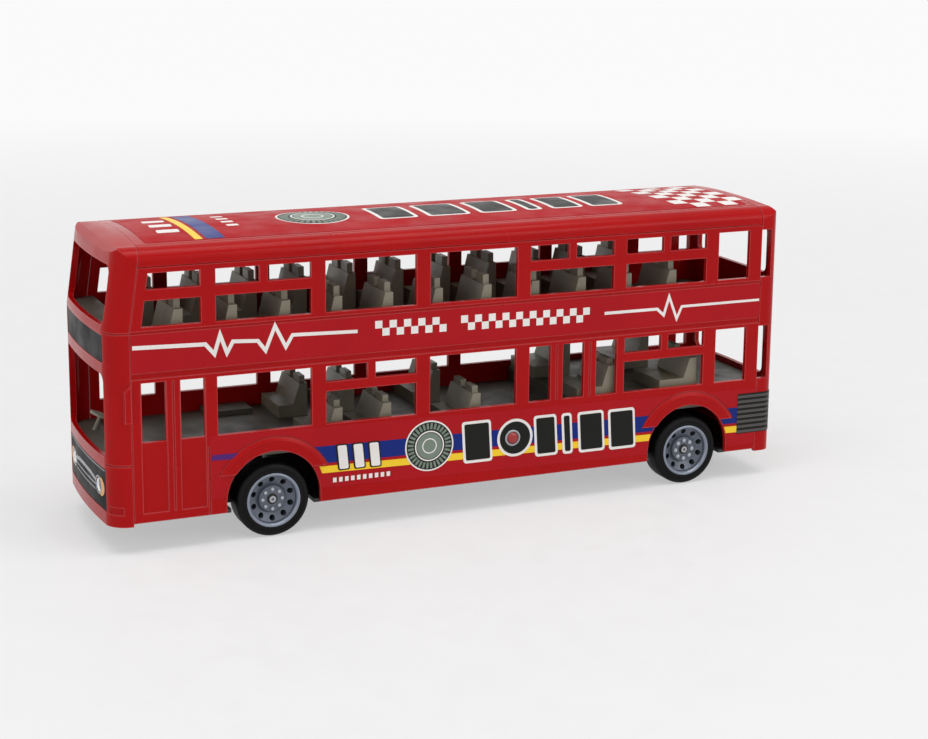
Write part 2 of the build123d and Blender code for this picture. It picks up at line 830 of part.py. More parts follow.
parts = [body_side_left, body_side_right, roof, front_cap, rear_cap, sign_panel, grille_panel,
         headlamp_left, headlamp_right, tail_lamp_left, tail_lamp_right, button_ring, push_button,
         lower_deck, upper_deck, lower_seats, upper_seats, steering_wheel,
         base_plate, battery_cover]

# Two axles, each with a hub and a tyre at both ends
for end, x in (("front", front_axle_x), ("rear", rear_axle_x)):
    with BuildPart() as rod:
        add(axle(x))
    rod.part.label = end + "_axle"
    parts.append(rod)
    for side_name, side in (("left", 1), ("right", -1)):
        with BuildPart() as wheel_hub:
            add(hub(x, side))
        wheel_hub.part.label = "hub_" + end + "_" + side_name
        parts.append(wheel_hub)
        with BuildPart() as wheel_tyre:
            add(tyre(x, side))
        wheel_tyre.part.label = "tyre_" + end + "_" + side_name
        parts.append(wheel_tyre)

for piece in parts:
    export_step(piece.part, "parts/" + piece.part.label + ".step")
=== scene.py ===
# %% [markdown]
# A plastic toy bus with two decks, dressed over its own CAD model.
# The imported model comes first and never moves. Every finish and every new piece
# below is fitted to it, in metres, with +X to the front of the bus, +Y to its
# left side with the doors, and the ground at zero.

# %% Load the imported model
from math import cos, pi, radians, sin, sqrt

import bmesh
import bpy
from mathutils import Matrix, Vector


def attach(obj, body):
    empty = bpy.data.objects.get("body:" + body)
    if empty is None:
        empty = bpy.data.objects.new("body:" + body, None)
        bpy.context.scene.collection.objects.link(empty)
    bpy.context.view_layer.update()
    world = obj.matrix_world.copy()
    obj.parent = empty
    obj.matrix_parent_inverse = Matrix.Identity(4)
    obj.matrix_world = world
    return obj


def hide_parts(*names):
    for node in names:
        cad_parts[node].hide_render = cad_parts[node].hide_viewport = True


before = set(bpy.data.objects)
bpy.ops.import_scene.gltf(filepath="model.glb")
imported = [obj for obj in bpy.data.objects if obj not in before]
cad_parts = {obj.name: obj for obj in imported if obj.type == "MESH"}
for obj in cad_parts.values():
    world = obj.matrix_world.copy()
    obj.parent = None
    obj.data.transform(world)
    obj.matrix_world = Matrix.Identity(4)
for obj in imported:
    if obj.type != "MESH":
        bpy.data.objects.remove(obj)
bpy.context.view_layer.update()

# %% [markdown]
# The sizes that the new pieces share with the CAD model are named once, in
# millimetres, and turned into metres with MM. A piece that sits on the body
# then follows the body's own walls, arches and wheels. FILM is the thickness of
# one layer of film, and vertices closer than TOUCHING are taken as one.

# %% Sizes shared with the model
MM = 0.001
HALF_WIDTH = 34.0
HALF_LENGTH = 140.0
FRONT_AXLE_X = 77.0
REAR_AXLE_X = -99.0
WHEEL_RADIUS = 14.1
WHEEL_FACE = 33.4
WHEEL_WIDTH = 11.0
RIM_RADIUS = 10.4
ARCH_CENTRE = 15.3
ARCH_RADIUS = 18.2
FLARE_RADIUS = 23.4
FLARE_LOW = 26.0
FLARE_PROUD = 0.7
FILM = 0.06
FILM_LIFT = 0.02
TOUCHING = 0.002
SIDES = (("left", 1), ("right", -1))


def srgb(red, green, blue):
    """Colour as a screen shows it, 0 to 255, turned into Blender's linear values."""
    def linear(value):
        share = value / 255
        return share / 12.92 if share <= 0.04045 else ((share + 0.055) / 1.055) ** 2.4
    return (linear(red), linear(green), linear(blue), 1.0)


# %% [markdown]
# The camera stands where the toy was looked at from: low, on its left, a little
# in front. A long lens keeps the sides nearly parallel. The small upward shift
# of the picture's centre is set on the lens, so the upright edges stay upright.

# %% Camera
PICTURE_WIDTH = 928
FOCAL_PIXELS = 1940
SENSOR_WIDTH = 36.0
camera_data = bpy.data.cameras.new("camera")
camera_data.sensor_width = SENSOR_WIDTH
camera_data.lens = SENSOR_WIDTH * FOCAL_PIXELS / PICTURE_WIDTH
camera_data.shift_y = -0.0749
camera_data.clip_start = 0.01
camera = bpy.data.objects.new("camera", camera_data)
bpy.context.scene.collection.objects.link(camera)
view_right = Vector((-0.91504, 0.40325, 0.00945))
view_up = Vector((-0.07486, -0.19281, 0.97838))
view_back = view_right.cross(view_up)
place = Matrix((view_right, view_up, view_back)).transposed().to_4x4()
place.translation = (0.2926, 0.6925, 0.2366)
camera.matrix_world = place
bpy.context.scene.camera = camera
bpy.context.scene.view_settings.view_transform = "Standard"
print("Camera lens in mm:", round(camera_data.lens, 1))

# %% [markdown]
# Plain soft light: an even white world for the shadows' colour, one large panel
# above for the roof, and one on each side of the camera. Large panels give the
# glossy plastic long soft streaks, and their power keeps a colour about as written.

# %% Light
def seen_or_mirrored(tree):
    """One where a ray comes from the camera, off a glossy face or through clear plastic."""
    rays = tree.nodes.new("ShaderNodeLightPath")
    found = rays.outputs["Is Camera Ray"]
    for kind in ("Is Glossy Ray", "Is Transmission Ray"):
        either = tree.nodes.new("ShaderNodeMath")
        either.operation = "MAXIMUM"
        tree.links.new(found, either.inputs[0])
        tree.links.new(rays.outputs[kind], either.inputs[1])
        found = either.outputs[0]
    return found


world = bpy.data.worlds.new("studio")
bpy.context.scene.world = world
world.use_nodes = True
sky = world.node_tree.nodes["Background"]
sky.inputs["Color"].default_value = (1.0, 1.0, 1.0, 1.0)
sky.inputs["Strength"].default_value = 0.5
white = world.node_tree.nodes.new("ShaderNodeBackground")
white.inputs["Color"].default_value = (0.97, 0.97, 0.97, 1.0)
choose = world.node_tree.nodes.new("ShaderNodeMixShader")
world.node_tree.links.new(seen_or_mirrored(world.node_tree), choose.inputs[0])
world.node_tree.links.new(sky.outputs[0], choose.inputs[1])
world.node_tree.links.new(white.outputs[0], choose.inputs[2])
world.node_tree.links.new(choose.outputs[0], world.node_tree.nodes["World Output"].inputs[0])


def light_panel(name, place, width, height, power):
    """Rectangular lamp that faces the middle of the bus."""
    data = bpy.data.lights.new(name, "AREA")
    data.shape = "RECTANGLE"
    data.size = width
    data.size_y = height
    data.energy = power
    lamp = bpy.data.objects.new(name, data)
    bpy.context.scene.collection.objects.link(lamp)
    lamp.location = place
    lamp.rotation_euler = (Vector((0, 0, 0.06)) - Vector(place)).to_track_quat("-Z", "Y").to_euler()


light_panel("top_panel", (0.05, 0.2, 1.1), 1.2, 0.5, 6.5)
light_panel("left_panel", (-0.7, 1.1, 0.6), 0.8, 0.6, 3.1)
light_panel("front_panel", (1.2, 0.5, 0.5), 0.6, 0.6, 1.5)

# %% [markdown]
# The floor is a wide pale disc that keeps the toy's shadow. It is one circle of
# vertices with a face, so it needs no modelling. Its finish comes with the next
# helper.

# %% Floor
floor_mesh = bpy.data.meshes.new("floor")
bm = bmesh.new()
bmesh.ops.create_circle(bm, cap_ends=True, segments=96, radius=9.0)
bm.to_mesh(floor_mesh)
bm.free()
floor = bpy.data.objects.new("floor", floor_mesh)
bpy.context.scene.collection.objects.link(floor)

# %% [markdown]
# Moulded plastic, film and rubber differ in colour, gloss and grain, but are made
# of the same few nodes. One helper builds them: slow noise shifts the tone, finer
# noise shifts the roughness, fine grain bumps the surface, and stretched noise
# leaves faint rubbed marks. All of it reads Object coordinates, so nothing slides.
# A Bevel node compares the rounded normal with the plain one. They differ only near
# an edge, and there the colour is made paler, on hollow edges as on outer ones:
# a painted highlight along every edge.

# %% A helper for surfaces
TONE_SIZE = 38
RUB_SIZE = 3
RUB_STRETCH = (0.12, 1.0, 1.0)
GLOSS_SIZE = 11


def surface(name, colour, roughness, tone=0.08, grain=0.02, grain_size=0.5, rub=0.12, edge=0.0, **shader):
    """Material with uneven tone and gloss, fine grain and faint rubbed marks."""
    material = bpy.data.materials.new(name)
    material.use_nodes = True
    nodes = material.node_tree.nodes
    links = material.node_tree.links
    principled = nodes["Principled BSDF"]
    for socket, value in shader.items():
        principled.inputs[socket.replace("_", " ")].default_value = value
    where = nodes.new("ShaderNodeTexCoord")

    def noise(size_mm, detail, stretch=None):
        node = nodes.new("ShaderNodeTexNoise")
        node.inputs["Scale"].default_value = 1 / (size_mm * MM)
        node.inputs["Detail"].default_value = detail
        if stretch is None:
            links.new(where.outputs["Object"], node.inputs["Vector"])
        else:
            mapping = nodes.new("ShaderNodeMapping")
            mapping.inputs["Scale"].default_value = stretch
            links.new(where.outputs["Object"], mapping.inputs["Vector"])
            links.new(mapping.outputs["Vector"], node.inputs["Vector"])
        return node.outputs["Fac"]

    def remap(source, low, high, to_low, to_high):
        node = nodes.new("ShaderNodeMapRange")
        for socket, value in zip(("From Min", "From Max", "To Min", "To Max"), (low, high, to_low, to_high)):
            node.inputs[socket].default_value = value
        links.new(source, node.inputs["Value"])
        return node.outputs["Result"]

    def mix(factor, first, second):
        node = nodes.new("ShaderNodeMix")
        node.data_type = "RGBA"
        links.new(factor, node.inputs[0])
        for index, value in ((6, first), (7, second)):
            if isinstance(value, tuple):
                node.inputs[index].default_value = value
            else:
                links.new(value, node.inputs[index])
        return node.outputs[2]

    dark = tuple(c * (1 - tone) for c in colour[:3]) + (1.0,)
    light = tuple(min(1.0, c * (1 + tone) + 0.01 * tone) for c in colour[:3]) + (1.0,)
    shade = mix(remap(noise(TONE_SIZE, 3), 0.35, 0.65, 0, 1), dark, light)
    marks = remap(noise(RUB_SIZE, 4, RUB_STRETCH), 0.62, 0.72, 0, rub)
    worn = tuple(c * 0.82 + 0.1 for c in colour[:3]) + (1.0,)
    finish = mix(marks, shade, worn)
    # Painted highlight: with an edge radius, the colour turns paler near every edge.
    if edge:
        rounded = nodes.new("ShaderNodeBevel")
        rounded.samples = 6
        rounded.inputs["Radius"].default_value = edge * MM
        plain = nodes.new("ShaderNodeNewGeometry")
        turned = nodes.new("ShaderNodeVectorMath")
        turned.operation = "DOT_PRODUCT"
        links.new(rounded.outputs["Normal"], turned.inputs[0])
        links.new(plain.outputs["Normal"], turned.inputs[1])
        painted_edge_highlight = tuple(min(1.0, c * 1.3 + 0.09) for c in colour[:3]) + (1.0,)
        finish = mix(remap(turned.outputs["Value"], 0.97, 0.84, 0, 0.85), finish, painted_edge_highlight)
    links.new(finish, principled.inputs["Base Color"])
    gloss = nodes.new("ShaderNodeMath")
    gloss.operation = "ADD"
    links.new(remap(noise(GLOSS_SIZE, 4), 0.3, 0.7, roughness * 0.75, roughness * 1.3), gloss.inputs[0])
    links.new(marks, gloss.inputs[1])
    links.new(gloss.outputs[0], principled.inputs["Roughness"])
    bump = nodes.new("ShaderNodeBump")
    bump.inputs["Strength"].default_value = 1.0
    bump.inputs["Distance"].default_value = grain * MM
    links.new(noise(grain_size, 2), bump.inputs["Height"])
    links.new(bump.outputs["Normal"], principled.inputs["Normal"])
    return material


pale_floor = surface("pale_floor", (0.80, 0.80, 0.81, 1.0), 0.6, tone=0.01, rub=0.0)
floor_mesh.materials.append(pale_floor)

# %% [markdown]
# The picture's ground should be near white, without more light on the bus. Seen
# by the camera, or mirrored in the gloss, the floor is therefore mixed with a plain
# pale glow. Near the bus the mix is under a half, so its soft shadow stays, and it
# grows with the distance from the bus.

# %% Paler floor for the camera
GLOW_NEAR, GLOW_FAR = 0.22, 1.3
GLOW_LEAST, GLOW_MOST = 0.45, 0.97
tree = pale_floor.node_tree
glow = tree.nodes.new("ShaderNodeEmission")
glow.inputs["Color"].default_value = (0.97, 0.97, 0.97, 1.0)
spot = tree.nodes.new("ShaderNodeTexCoord")
away = tree.nodes.new("ShaderNodeVectorMath")
away.operation = "LENGTH"
fade = tree.nodes.new("ShaderNodeMapRange")
for socket, value in (("From Min", GLOW_NEAR), ("From Max", GLOW_FAR),
                      ("To Min", GLOW_LEAST), ("To Max", GLOW_MOST)):
    fade.inputs[socket].default_value = value
share = tree.nodes.new("ShaderNodeMath")
share.operation = "MULTIPLY"
tree.links.new(spot.outputs["Object"], away.inputs[0])
tree.links.new(away.outputs["Value"], fade.inputs["Value"])
tree.links.new(fade.outputs["Result"], share.inputs[1])
blend = tree.nodes.new("ShaderNodeMixShader")
tree.links.new(seen_or_mirrored(tree), share.inputs[0])
tree.links.new(share.outputs[0], blend.inputs[0])
tree.links.new(tree.nodes["Principled BSDF"].outputs[0], blend.inputs[1])
tree.links.new(glow.outputs[0], blend.inputs[2])
tree.links.new(blend.outputs[0], tree.nodes["Material Output"].inputs[0])

# %% [markdown]
# The bus has few finishes. Its shell is glossy red moulded plastic with a faint
# swell from the mould. Its films are smoother and a little cooler in colour. The
# seats are olive plastic, and the decks a darker copy of that olive as painted
# shade. The tyres are matt black. The hubs are satin grey plastic, darkened as
# painted shade, and their lips paler as a painted highlight.

# %% Finishes
# A finish given an edge radius carries a painted highlight along its edges.
red_plastic = surface("red_plastic", srgb(170, 5, 8), 0.22, tone=0.05, grain=0.02, grain_size=2.2,
                      rub=0.0, edge=0.65, Specular_IOR_Level=0.13)
film_look = {"grain": 0.006, "grain_size": 1.2, "tone": 0.04, "rub": 0.0, "Specular_IOR_Level": 0.14}
crimson_film = surface("crimson_film", srgb(172, 14, 24), 0.34, **film_look)
roof_film = surface("roof_film", srgb(172, 6, 20), 0.4, **{**film_look, "Specular_IOR_Level": 0.04})
blue_film = surface("blue_film", srgb(18, 40, 122), 0.34, **film_look)
violet_film = surface("violet_film", srgb(84, 36, 112), 0.34, **film_look)
yellow_film = surface("yellow_film", srgb(248, 208, 50), 0.34, **film_look)
white_film = surface("white_film", srgb(238, 234, 230), 0.34, **film_look)
black_film = surface("black_film", srgb(24, 25, 22), 0.4, **film_look)
grey_film = surface("grey_film", srgb(84, 80, 80), 0.36, **film_look)
sage_film = surface("sage_film", srgb(122, 136, 122), 0.34, **film_look)
silver_film = surface("silver_film", srgb(160, 162, 166), 0.3, Metallic=0.6, **film_look)
panel_plastic = surface("panel_plastic", srgb(24, 25, 25), 0.42, tone=0.04, grain=0.004, grain_size=0.6,
                        rub=0.0, edge=0.3, Specular_IOR_Level=0.06)
seat_plastic = surface("seat_plastic", srgb(128, 124, 106), 0.42, tone=0.08, grain=0.02, grain_size=0.8,
                       edge=0.4)
# The decks take the seats' olive at about six tenths of its brightness: painted shade inside the bus.
deck_plastic = surface("deck_plastic", srgb(78, 75, 65), 0.5, tone=0.1, grain=0.02, grain_size=0.7)
base_plastic = surface("base_plastic", srgb(34, 34, 36), 0.45, tone=0.12, grain=0.03, grain_size=0.6)
tyre_rubber = surface("tyre_rubber", srgb(9, 9, 10), 0.5, tone=0.15, grain=0.02, grain_size=0.4, rub=0.01,
                      Specular_IOR_Level=0.14)
# One grey plastic in two shades: the hub's darker as painted shade in the dish, the lip's paler as a painted
# highlight.
hub_plastic = surface("hub_plastic", srgb(92, 98, 110), 0.36, tone=0.07, grain=0.01, grain_size=0.5,
                      rub=0.05, edge=0.3, Metallic=0.3)
nut_plastic = surface("nut_plastic", srgb(176, 180, 188), 0.3, tone=0.05, grain=0.005, Metallic=0.3)
lip_grey_painted_highlight = surface("lip_grey_painted_highlight", srgb(132, 140, 154), 0.3, tone=0.06, grain=0.006, edge=0.2, Metallic=0.3)
# This black is painted shade on the vents' floors, and the dark joint line round each cap.
painted_shade_and_joint_black = surface("painted_shade_and_joint_black", srgb(14, 14, 16), 0.6, tone=0.2)
axle_steel = surface("axle_steel", srgb(176, 176, 178), 0.28, tone=0.06, grain=0.004, Metallic=1.0)
button_red = surface("button_red", srgb(158, 16, 14), 0.12, tone=0.05, grain=0.004, grain_size=1.5,
                     Coat_Weight=0.3, Coat_Roughness=0.05)
chrome = surface("chrome", srgb(214, 214, 216), 0.1, tone=0.04, grain=0.004, Metallic=1.0)
clear_plastic = surface("clear_plastic", srgb(246, 246, 244), 0.06, tone=0.02, grain=0.01, grain_size=0.7,
                        rub=0.0, Transmission_Weight=0.92, IOR=1.46)
amber_plastic = surface("amber_plastic", srgb(255, 176, 40), 0.12, tone=0.06, grain=0.01, rub=0.0,
                        Transmission_Weight=0.3)
red_lens = surface("red_lens", srgb(96, 4, 6), 0.14, tone=0.06, grain=0.02, grain_size=0.8, rub=0.0,
                   edge=0.3, Specular_IOR_Level=0.3, Coat_Weight=0.1)
print("Finishes:", len(bpy.data.materials))

# %% [markdown]
# Nodes whose shape is right keep it and only take a finish. Their material slots
# are filled here. The nodes that a softer or finer piece stands for come later.

# %% Finish the nodes that stay as they are
for node, finish in (("lower_deck", deck_plastic), ("upper_deck", deck_plastic),
                     ("base_plate", base_plastic), ("battery_cover", base_plastic),
                     ("front_axle", axle_steel), ("rear_axle", axle_steel),
                     ("sign_panel", panel_plastic), ("grille_panel", panel_plastic),
                     ("steering_wheel", seat_plastic)):
    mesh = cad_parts[node].data
    if not mesh.materials:
        mesh.materials.append(finish)
    for index in range(len(mesh.materials)):
        mesh.materials[index] = finish
print("Nodes in all:", len(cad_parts))

# %% [markdown]
# Every new piece ends the same way: its bmesh becomes a mesh at the origin, takes
# its finish, and rides on a body of the model. A helper does that once.

# %% A helper that turns a bmesh into a piece
def make_piece(bm, name, body, finish, stands_for=(), smooth_below=None):
    """Object from a bmesh given in metres, riding on a body of the model."""
    mesh = bpy.data.meshes.new(name)
    bm.to_mesh(mesh)
    bm.free()
    mesh.materials.append(finish)
    if smooth_below is not None:
        mesh.shade_smooth()
        mesh.set_sharp_from_angle(angle=radians(smooth_below))
    piece = bpy.data.objects.new(name, mesh)
    bpy.context.scene.collection.objects.link(piece)
    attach(piece, body)
    if stands_for:
        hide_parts(*stands_for)
    return piece


# %% [markdown]
# The real shell has no knife edges. Round every window and crease the mould leaves
# a small radius, and that radius catches the light as a pale line. The CAD node's
# triangles are merged into a copy, flat areas are dissolved to single faces, and
# a Bevel modifier rounds the edges. Weighted Normal then lets the large faces keep
# their own direction, so the flats stay flat where they meet a bend. One tiny edge
# would clamp every bevel on the piece, so such edges are merged first.

# %% Soften the moulded shells and the seats
SHORTEST_EDGE = 0.09
SOFT_ANGLE = 34


def softened(node, finish, radius_mm, segments=2, shape=None, cut=None):
    """Copy of a CAD node with rounded edges, which stands for the node."""
    bm = bmesh.new()
    bm.from_mesh(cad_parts[node].data)
    bmesh.ops.remove_doubles(bm, verts=bm.verts, dist=TOUCHING * MM)
    bmesh.ops.dissolve_limit(bm, angle_limit=radians(0.2), use_dissolve_boundaries=False,
                             verts=bm.verts, edges=bm.edges)
    bmesh.ops.remove_doubles(bm, verts=bm.verts, dist=SHORTEST_EDGE * MM)
    if shape:
        shape(bm)
    piece = make_piece(bm, "soft_" + node, "body", finish, (node,), SOFT_ANGLE)
    if cut:
        cut(piece)
    rounding = piece.modifiers.new("rounded_edges", "BEVEL")
    rounding.width = radius_mm * MM
    rounding.segments = segments
    rounding.limit_method = "ANGLE"
    rounding.angle_limit = radians(SOFT_ANGLE)
    rounding.use_clamp_overlap = True
    rounding.harden_normals = True
    flat = piece.modifiers.new("flat_faces", "WEIGHTED_NORMAL")
    flat.keep_sharp = True
    return piece


for node in ("roof", "front_cap", "rear_cap"):
    softened(node, red_plastic, 0.2, 2)
for node in ("upper_seats", "lower_seats"):
    softened(node, seat_plastic, 0.6, 3)

# %% [markdown]
# A wheel is turned on a lathe, so its parts are spun: a few vertices give half the
# section, spin carries them once round the axle with use_merge to close the seam,
# and bevel rounds the ring edges. A tyre's section is a plain block with a wide
# round shoulder, and the hub's has a lip, a deep dish and a raised disc.

# %% Helpers for turned pieces
RING_ANGLE = 25


def spun(section, x, side, steps=96):
    """Bmesh of a section of (y, radius) points in mm, spun round an axle at x."""
    bm = bmesh.new()
    points = [bm.verts.new((x * MM, side * y * MM, (WHEEL_RADIUS + radius) * MM)) for y, radius in section]
    edges = [bm.edges.new(pair) for pair in zip(points, points[1:] + points[:1])]
    bmesh.ops.spin(bm, geom=points + edges, cent=(x * MM, 0, WHEEL_RADIUS * MM), axis=(0, 1, 0),
                   angle=2 * pi, steps=steps, use_merge=True, use_duplicate=False)
    bmesh.ops.remove_doubles(bm, verts=bm.verts, dist=TOUCHING * MM)
    bmesh.ops.recalc_face_normals(bm, faces=bm.faces)
    return bm


def round_off(bm, geom, radius_mm, segments, affect="EDGES"):
    """Bevel edges or corners to a radius in mm."""
    bmesh.ops.bevel(bm, geom=geom, offset=radius_mm * MM, offset_type="OFFSET", segments=segments,
                    profile=0.5, affect=affect, material=-1, clamp_overlap=True)


def round_rings(bm, x, radius_mm, low, high, segments):
    """Bevel the sharp ring edges whose radius lies between low and high."""
    centre = Vector((x * MM, 0, WHEEL_RADIUS * MM))

    def radius_of(vertex):
        return Vector((vertex.co.x - centre.x, 0, vertex.co.z - centre.z)).length / MM

    rings = []
    for edge in bm.edges:
        near, far = (radius_of(v) for v in edge.verts)
        level = abs(edge.verts[0].co.y - edge.verts[1].co.y) < 0.001 * MM
        on_ring = level and abs(near - far) < 0.01 and low <= near <= high
        if on_ring and edge.calc_face_angle(0) > radians(RING_ANGLE):
            rings.append(edge)
    round_off(bm, rings, radius_mm, segments)


def drill(piece, cutter_bm):
    """Cut a piece with the shapes of a second bmesh, and keep the result as its mesh."""
    mesh = bpy.data.meshes.new("cutter")
    cutter_bm.to_mesh(mesh)
    cutter_bm.free()
    cutter = bpy.data.objects.new("cutter", mesh)
    bpy.context.scene.collection.objects.link(cutter)
    cut = piece.modifiers.new("cut", "BOOLEAN")
    cut.operation = "DIFFERENCE"
    cut.solver = "EXACT"
    cut.object = cutter
    result = bpy.data.meshes.new_from_object(piece.evaluated_get(bpy.context.evaluated_depsgraph_get()))
    piece.modifiers.remove(cut)
    old = piece.data
    piece.data = result
    result.name = old.name
    bpy.data.meshes.remove(old)
    bpy.data.objects.remove(cutter)
    bpy.data.meshes.remove(mesh)


def peg(bm, x, y_from, y_to, z, radius, segments=16):
    """Add a round or many-sided peg along Y, in mm."""
    turn = Matrix.Rotation(radians(90), 4, "X")
    place = Matrix.Translation((x * MM, (y_from + y_to) / 2 * MM, z * MM))
    bmesh.ops.create_cone(bm, cap_ends=True, segments=segments, radius1=radius * MM, radius2=radius * MM,
                          depth=abs(y_to - y_from) * MM, matrix=place @ turn)


def cut_off_below(bm, z):
    """Cut closed shapes level at height z in mm, and drop what is below."""
    bmesh.ops.bisect_plane(bm, geom=bm.verts[:] + bm.edges[:] + bm.faces[:],
                           plane_co=(0, 0, z * MM), plane_no=(0, 0, -1), clear_outer=True)
    bmesh.ops.holes_fill(bm, edges=bm.edges, sides=0)
    bmesh.ops.recalc_face_normals(bm, faces=bm.faces)


# %% [markdown]
# Each wheel arch has a flare that swells out of the side wall, with a fine groove
# round its foot that keeps it dark. The flare's rim is drawn inwards to a slope, and
# the groove is a ring, spun about the arch's centre, that a Boolean cuts away.

# %% Side walls with flared arches
GROOVE_FLOOR = HALF_WIDTH - 0.35
GROOVE_TOP = HALF_WIDTH + 0.4
GROOVE_INNER = FLARE_RADIUS - 0.15
GROOVE_OUTER = FLARE_RADIUS + 0.35
FLARE_CREST = 22.1
FLARE_MARGIN = 0.3


def chamfer_flares(bm):
    """Slope the outer wall of each arch's flare by drawing its raised rim inwards."""
    for vertex in bm.verts:
        if abs(vertex.co.y) < (HALF_WIDTH + FLARE_PROUD / 2) * MM:
            continue
        for axle_x in (FRONT_AXLE_X, REAR_AXLE_X):
            across = vertex.co.x / MM - axle_x
            up = vertex.co.z / MM - ARCH_CENTRE
            if abs(sqrt(across ** 2 + up ** 2) - FLARE_RADIUS) > FLARE_MARGIN:
                continue
            if vertex.co.z / MM > FLARE_LOW + FLARE_MARGIN:
                shrink = FLARE_CREST / FLARE_RADIUS
                vertex.co.z = (ARCH_CENTRE + up * shrink) * MM
                vertex.co.x = (axle_x + across * shrink) * MM
            else:
                inward = sqrt(FLARE_CREST ** 2 - up ** 2)
                vertex.co.x = (axle_x + (inward if across > 0 else -inward)) * MM


def groove_flares(piece, side):
    """Cut a narrow groove round the foot of each flare, down to the flare's own ends."""
    for axle_x in (FRONT_AXLE_X, REAR_AXLE_X):
        ring = spun(((GROOVE_FLOOR, GROOVE_INNER), (GROOVE_TOP, GROOVE_INNER),
                     (GROOVE_TOP, GROOVE_OUTER), (GROOVE_FLOOR, GROOVE_OUTER)), axle_x, side)
        bmesh.ops.translate(ring, verts=ring.verts, vec=(0, 0, (ARCH_CENTRE - WHEEL_RADIUS) * MM))
        cut_off_below(ring, FLARE_LOW)
        drill(piece, ring)
    piece.data.set_sharp_from_angle(angle=radians(SOFT_ANGLE))


for side_name, side in SIDES:
    softened("body_side_" + side_name, red_plastic, 0.14, 2, chamfer_flares,
             lambda piece, side=side: groove_flares(piece, side))

# %% [markdown]
# The wheels follow the order of a real one: tyre, hub with its lip and vents, nuts,
# and a small cap over the axle's end. All four are made by the same loop.

# %% Tyres, hubs, vents, nuts and caps
VENT_COUNT = 10
VENT_RING = 7.5
VENT_RADIUS = 1.15
NUT_COUNT = 8
NUT_RING = 3.8
NUT_RADIUS = {"front": 0.7, "rear": 0.85}


def wheel_part(section, axle_x, side, steps=96):
    """Turned part of a wheel, from (depth behind the wheel's face, radius) points."""
    return spun([(WHEEL_FACE - depth, radius) for depth, radius in section], axle_x, side, steps)


for end, axle_x in (("front", FRONT_AXLE_X), ("rear", REAR_AXLE_X)):
    for side_name, side in SIDES:
        tag = end + "_" + side_name
        body = end + "_wheels"
        # Tyre: a block section with round shoulders and a shallow line on its wall
        tyre = wheel_part(((0.3, RIM_RADIUS), (0.3, 11.6), (0.45, 11.7), (0.45, 12.0), (0.3, 12.1),
                           (0.5, WHEEL_RADIUS), (WHEEL_WIDTH - 0.3, WHEEL_RADIUS),
                           (WHEEL_WIDTH - 0.3, RIM_RADIUS)), axle_x, side)
        round_rings(tyre, axle_x, 1.5, WHEEL_RADIUS - 0.1, WHEEL_RADIUS + 0.1, 6)
        make_piece(tyre, "round_tyre_" + tag, body, tyre_rubber, ("tyre_" + tag,), 30)
        # Hub: lip, sloping dish and raised disc
        hub = wheel_part(((0, 9.5), (0, RIM_RADIUS), (WHEEL_WIDTH, RIM_RADIUS), (WHEEL_WIDTH, 1.3),
                          (3.4, 1.3), (2.2, 1.3), (2.2, 5.0), (3.4, 5.4), (1.9, 8.8), (0.9, 9.2)),
                         axle_x, side)
        round_rings(hub, axle_x, 0.3, 9.4, RIM_RADIUS + 0.1, 4)
        round_rings(hub, axle_x, 0.25, 4.9, 5.1, 3)
        hub_piece = make_piece(hub, "dished_hub_" + tag, body, hub_plastic,
                               ("hub_" + tag,), 30)
        # Each vent ends on a black disc: painted shade at the bottom of the vent.
        vents = bmesh.new()
        vent_shade_bm = bmesh.new()
        for index in range(VENT_COUNT):
            turn = 2 * pi * (index + 0.5) / VENT_COUNT
            vent_x = axle_x + VENT_RING * cos(turn)
            vent_z = WHEEL_RADIUS + VENT_RING * sin(turn)
            peg(vents, vent_x, side * (WHEEL_FACE - 1.0), side * (WHEEL_FACE - 6.5), vent_z, VENT_RADIUS)
            peg(vent_shade_bm, vent_x, side * (WHEEL_FACE - 6.1), side * (WHEEL_FACE - 6.4), vent_z,
                VENT_RADIUS - 0.01)
        drill(hub_piece, vents)
        hub_piece.data.set_sharp_from_angle(angle=radians(30))
        make_piece(vent_shade_bm, "painted_vent_shade_" + tag, body, painted_shade_and_joint_black)
        # Nuts round a domed cap that covers the axle's end
        nuts = bmesh.new()
        for index in range(NUT_COUNT):
            turn = 2 * pi * index / NUT_COUNT
            peg(nuts, axle_x + NUT_RING * cos(turn), side * (WHEEL_FACE - 2.3), side * (WHEEL_FACE - 1.6),
                WHEEL_RADIUS + NUT_RING * sin(turn), NUT_RADIUS[end], 6)
        round_off(nuts, nuts.edges[:], 0.08, 2)
        make_piece(nuts, "wheel_nuts_" + tag, body, nut_plastic, (), 40)
        cap = wheel_part(((2.3, 1.1), (1.8, 1.1), (1.5, 0.9), (1.35, 0.5), (1.3, 0.0), (2.3, 0.0)),
                         axle_x, side, 48)
        round_rings(cap, axle_x, 0.1, 1.0, 1.2, 2)
        make_piece(cap, "hub_cap_" + tag, body, hub_plastic, (), 35)
        ring = wheel_part(((2.1, 2.1), (2.1, 1.12), (2.25, 1.12), (2.25, 2.1)), axle_x, side, 48)
        make_piece(ring, "cap_line_" + tag, body, painted_shade_and_joint_black)
        # A bead with a sloping inner face runs round the lip, its paler grey a painted highlight
        bead = wheel_part(((0.7, 9.12), (0.1, 9.45), (-0.12, 9.75), (-0.12, 10.1), (0.1, 10.35),
                           (0.75, 9.6)), axle_x, side)
        make_piece(bead, "lip_bead_" + tag, body, lip_grey_painted_highlight, (), 50)

# %% [markdown]
# The films on the bus are cut sheets, a few hundredths of a millimetre thick. They
# could be painted into the red plastic's material, but a real film has an edge
# that catches the light, and as a thin piece it stays sharp in any export. Each
# film is a face of a few corners, seen from the side, extruded to its thickness.

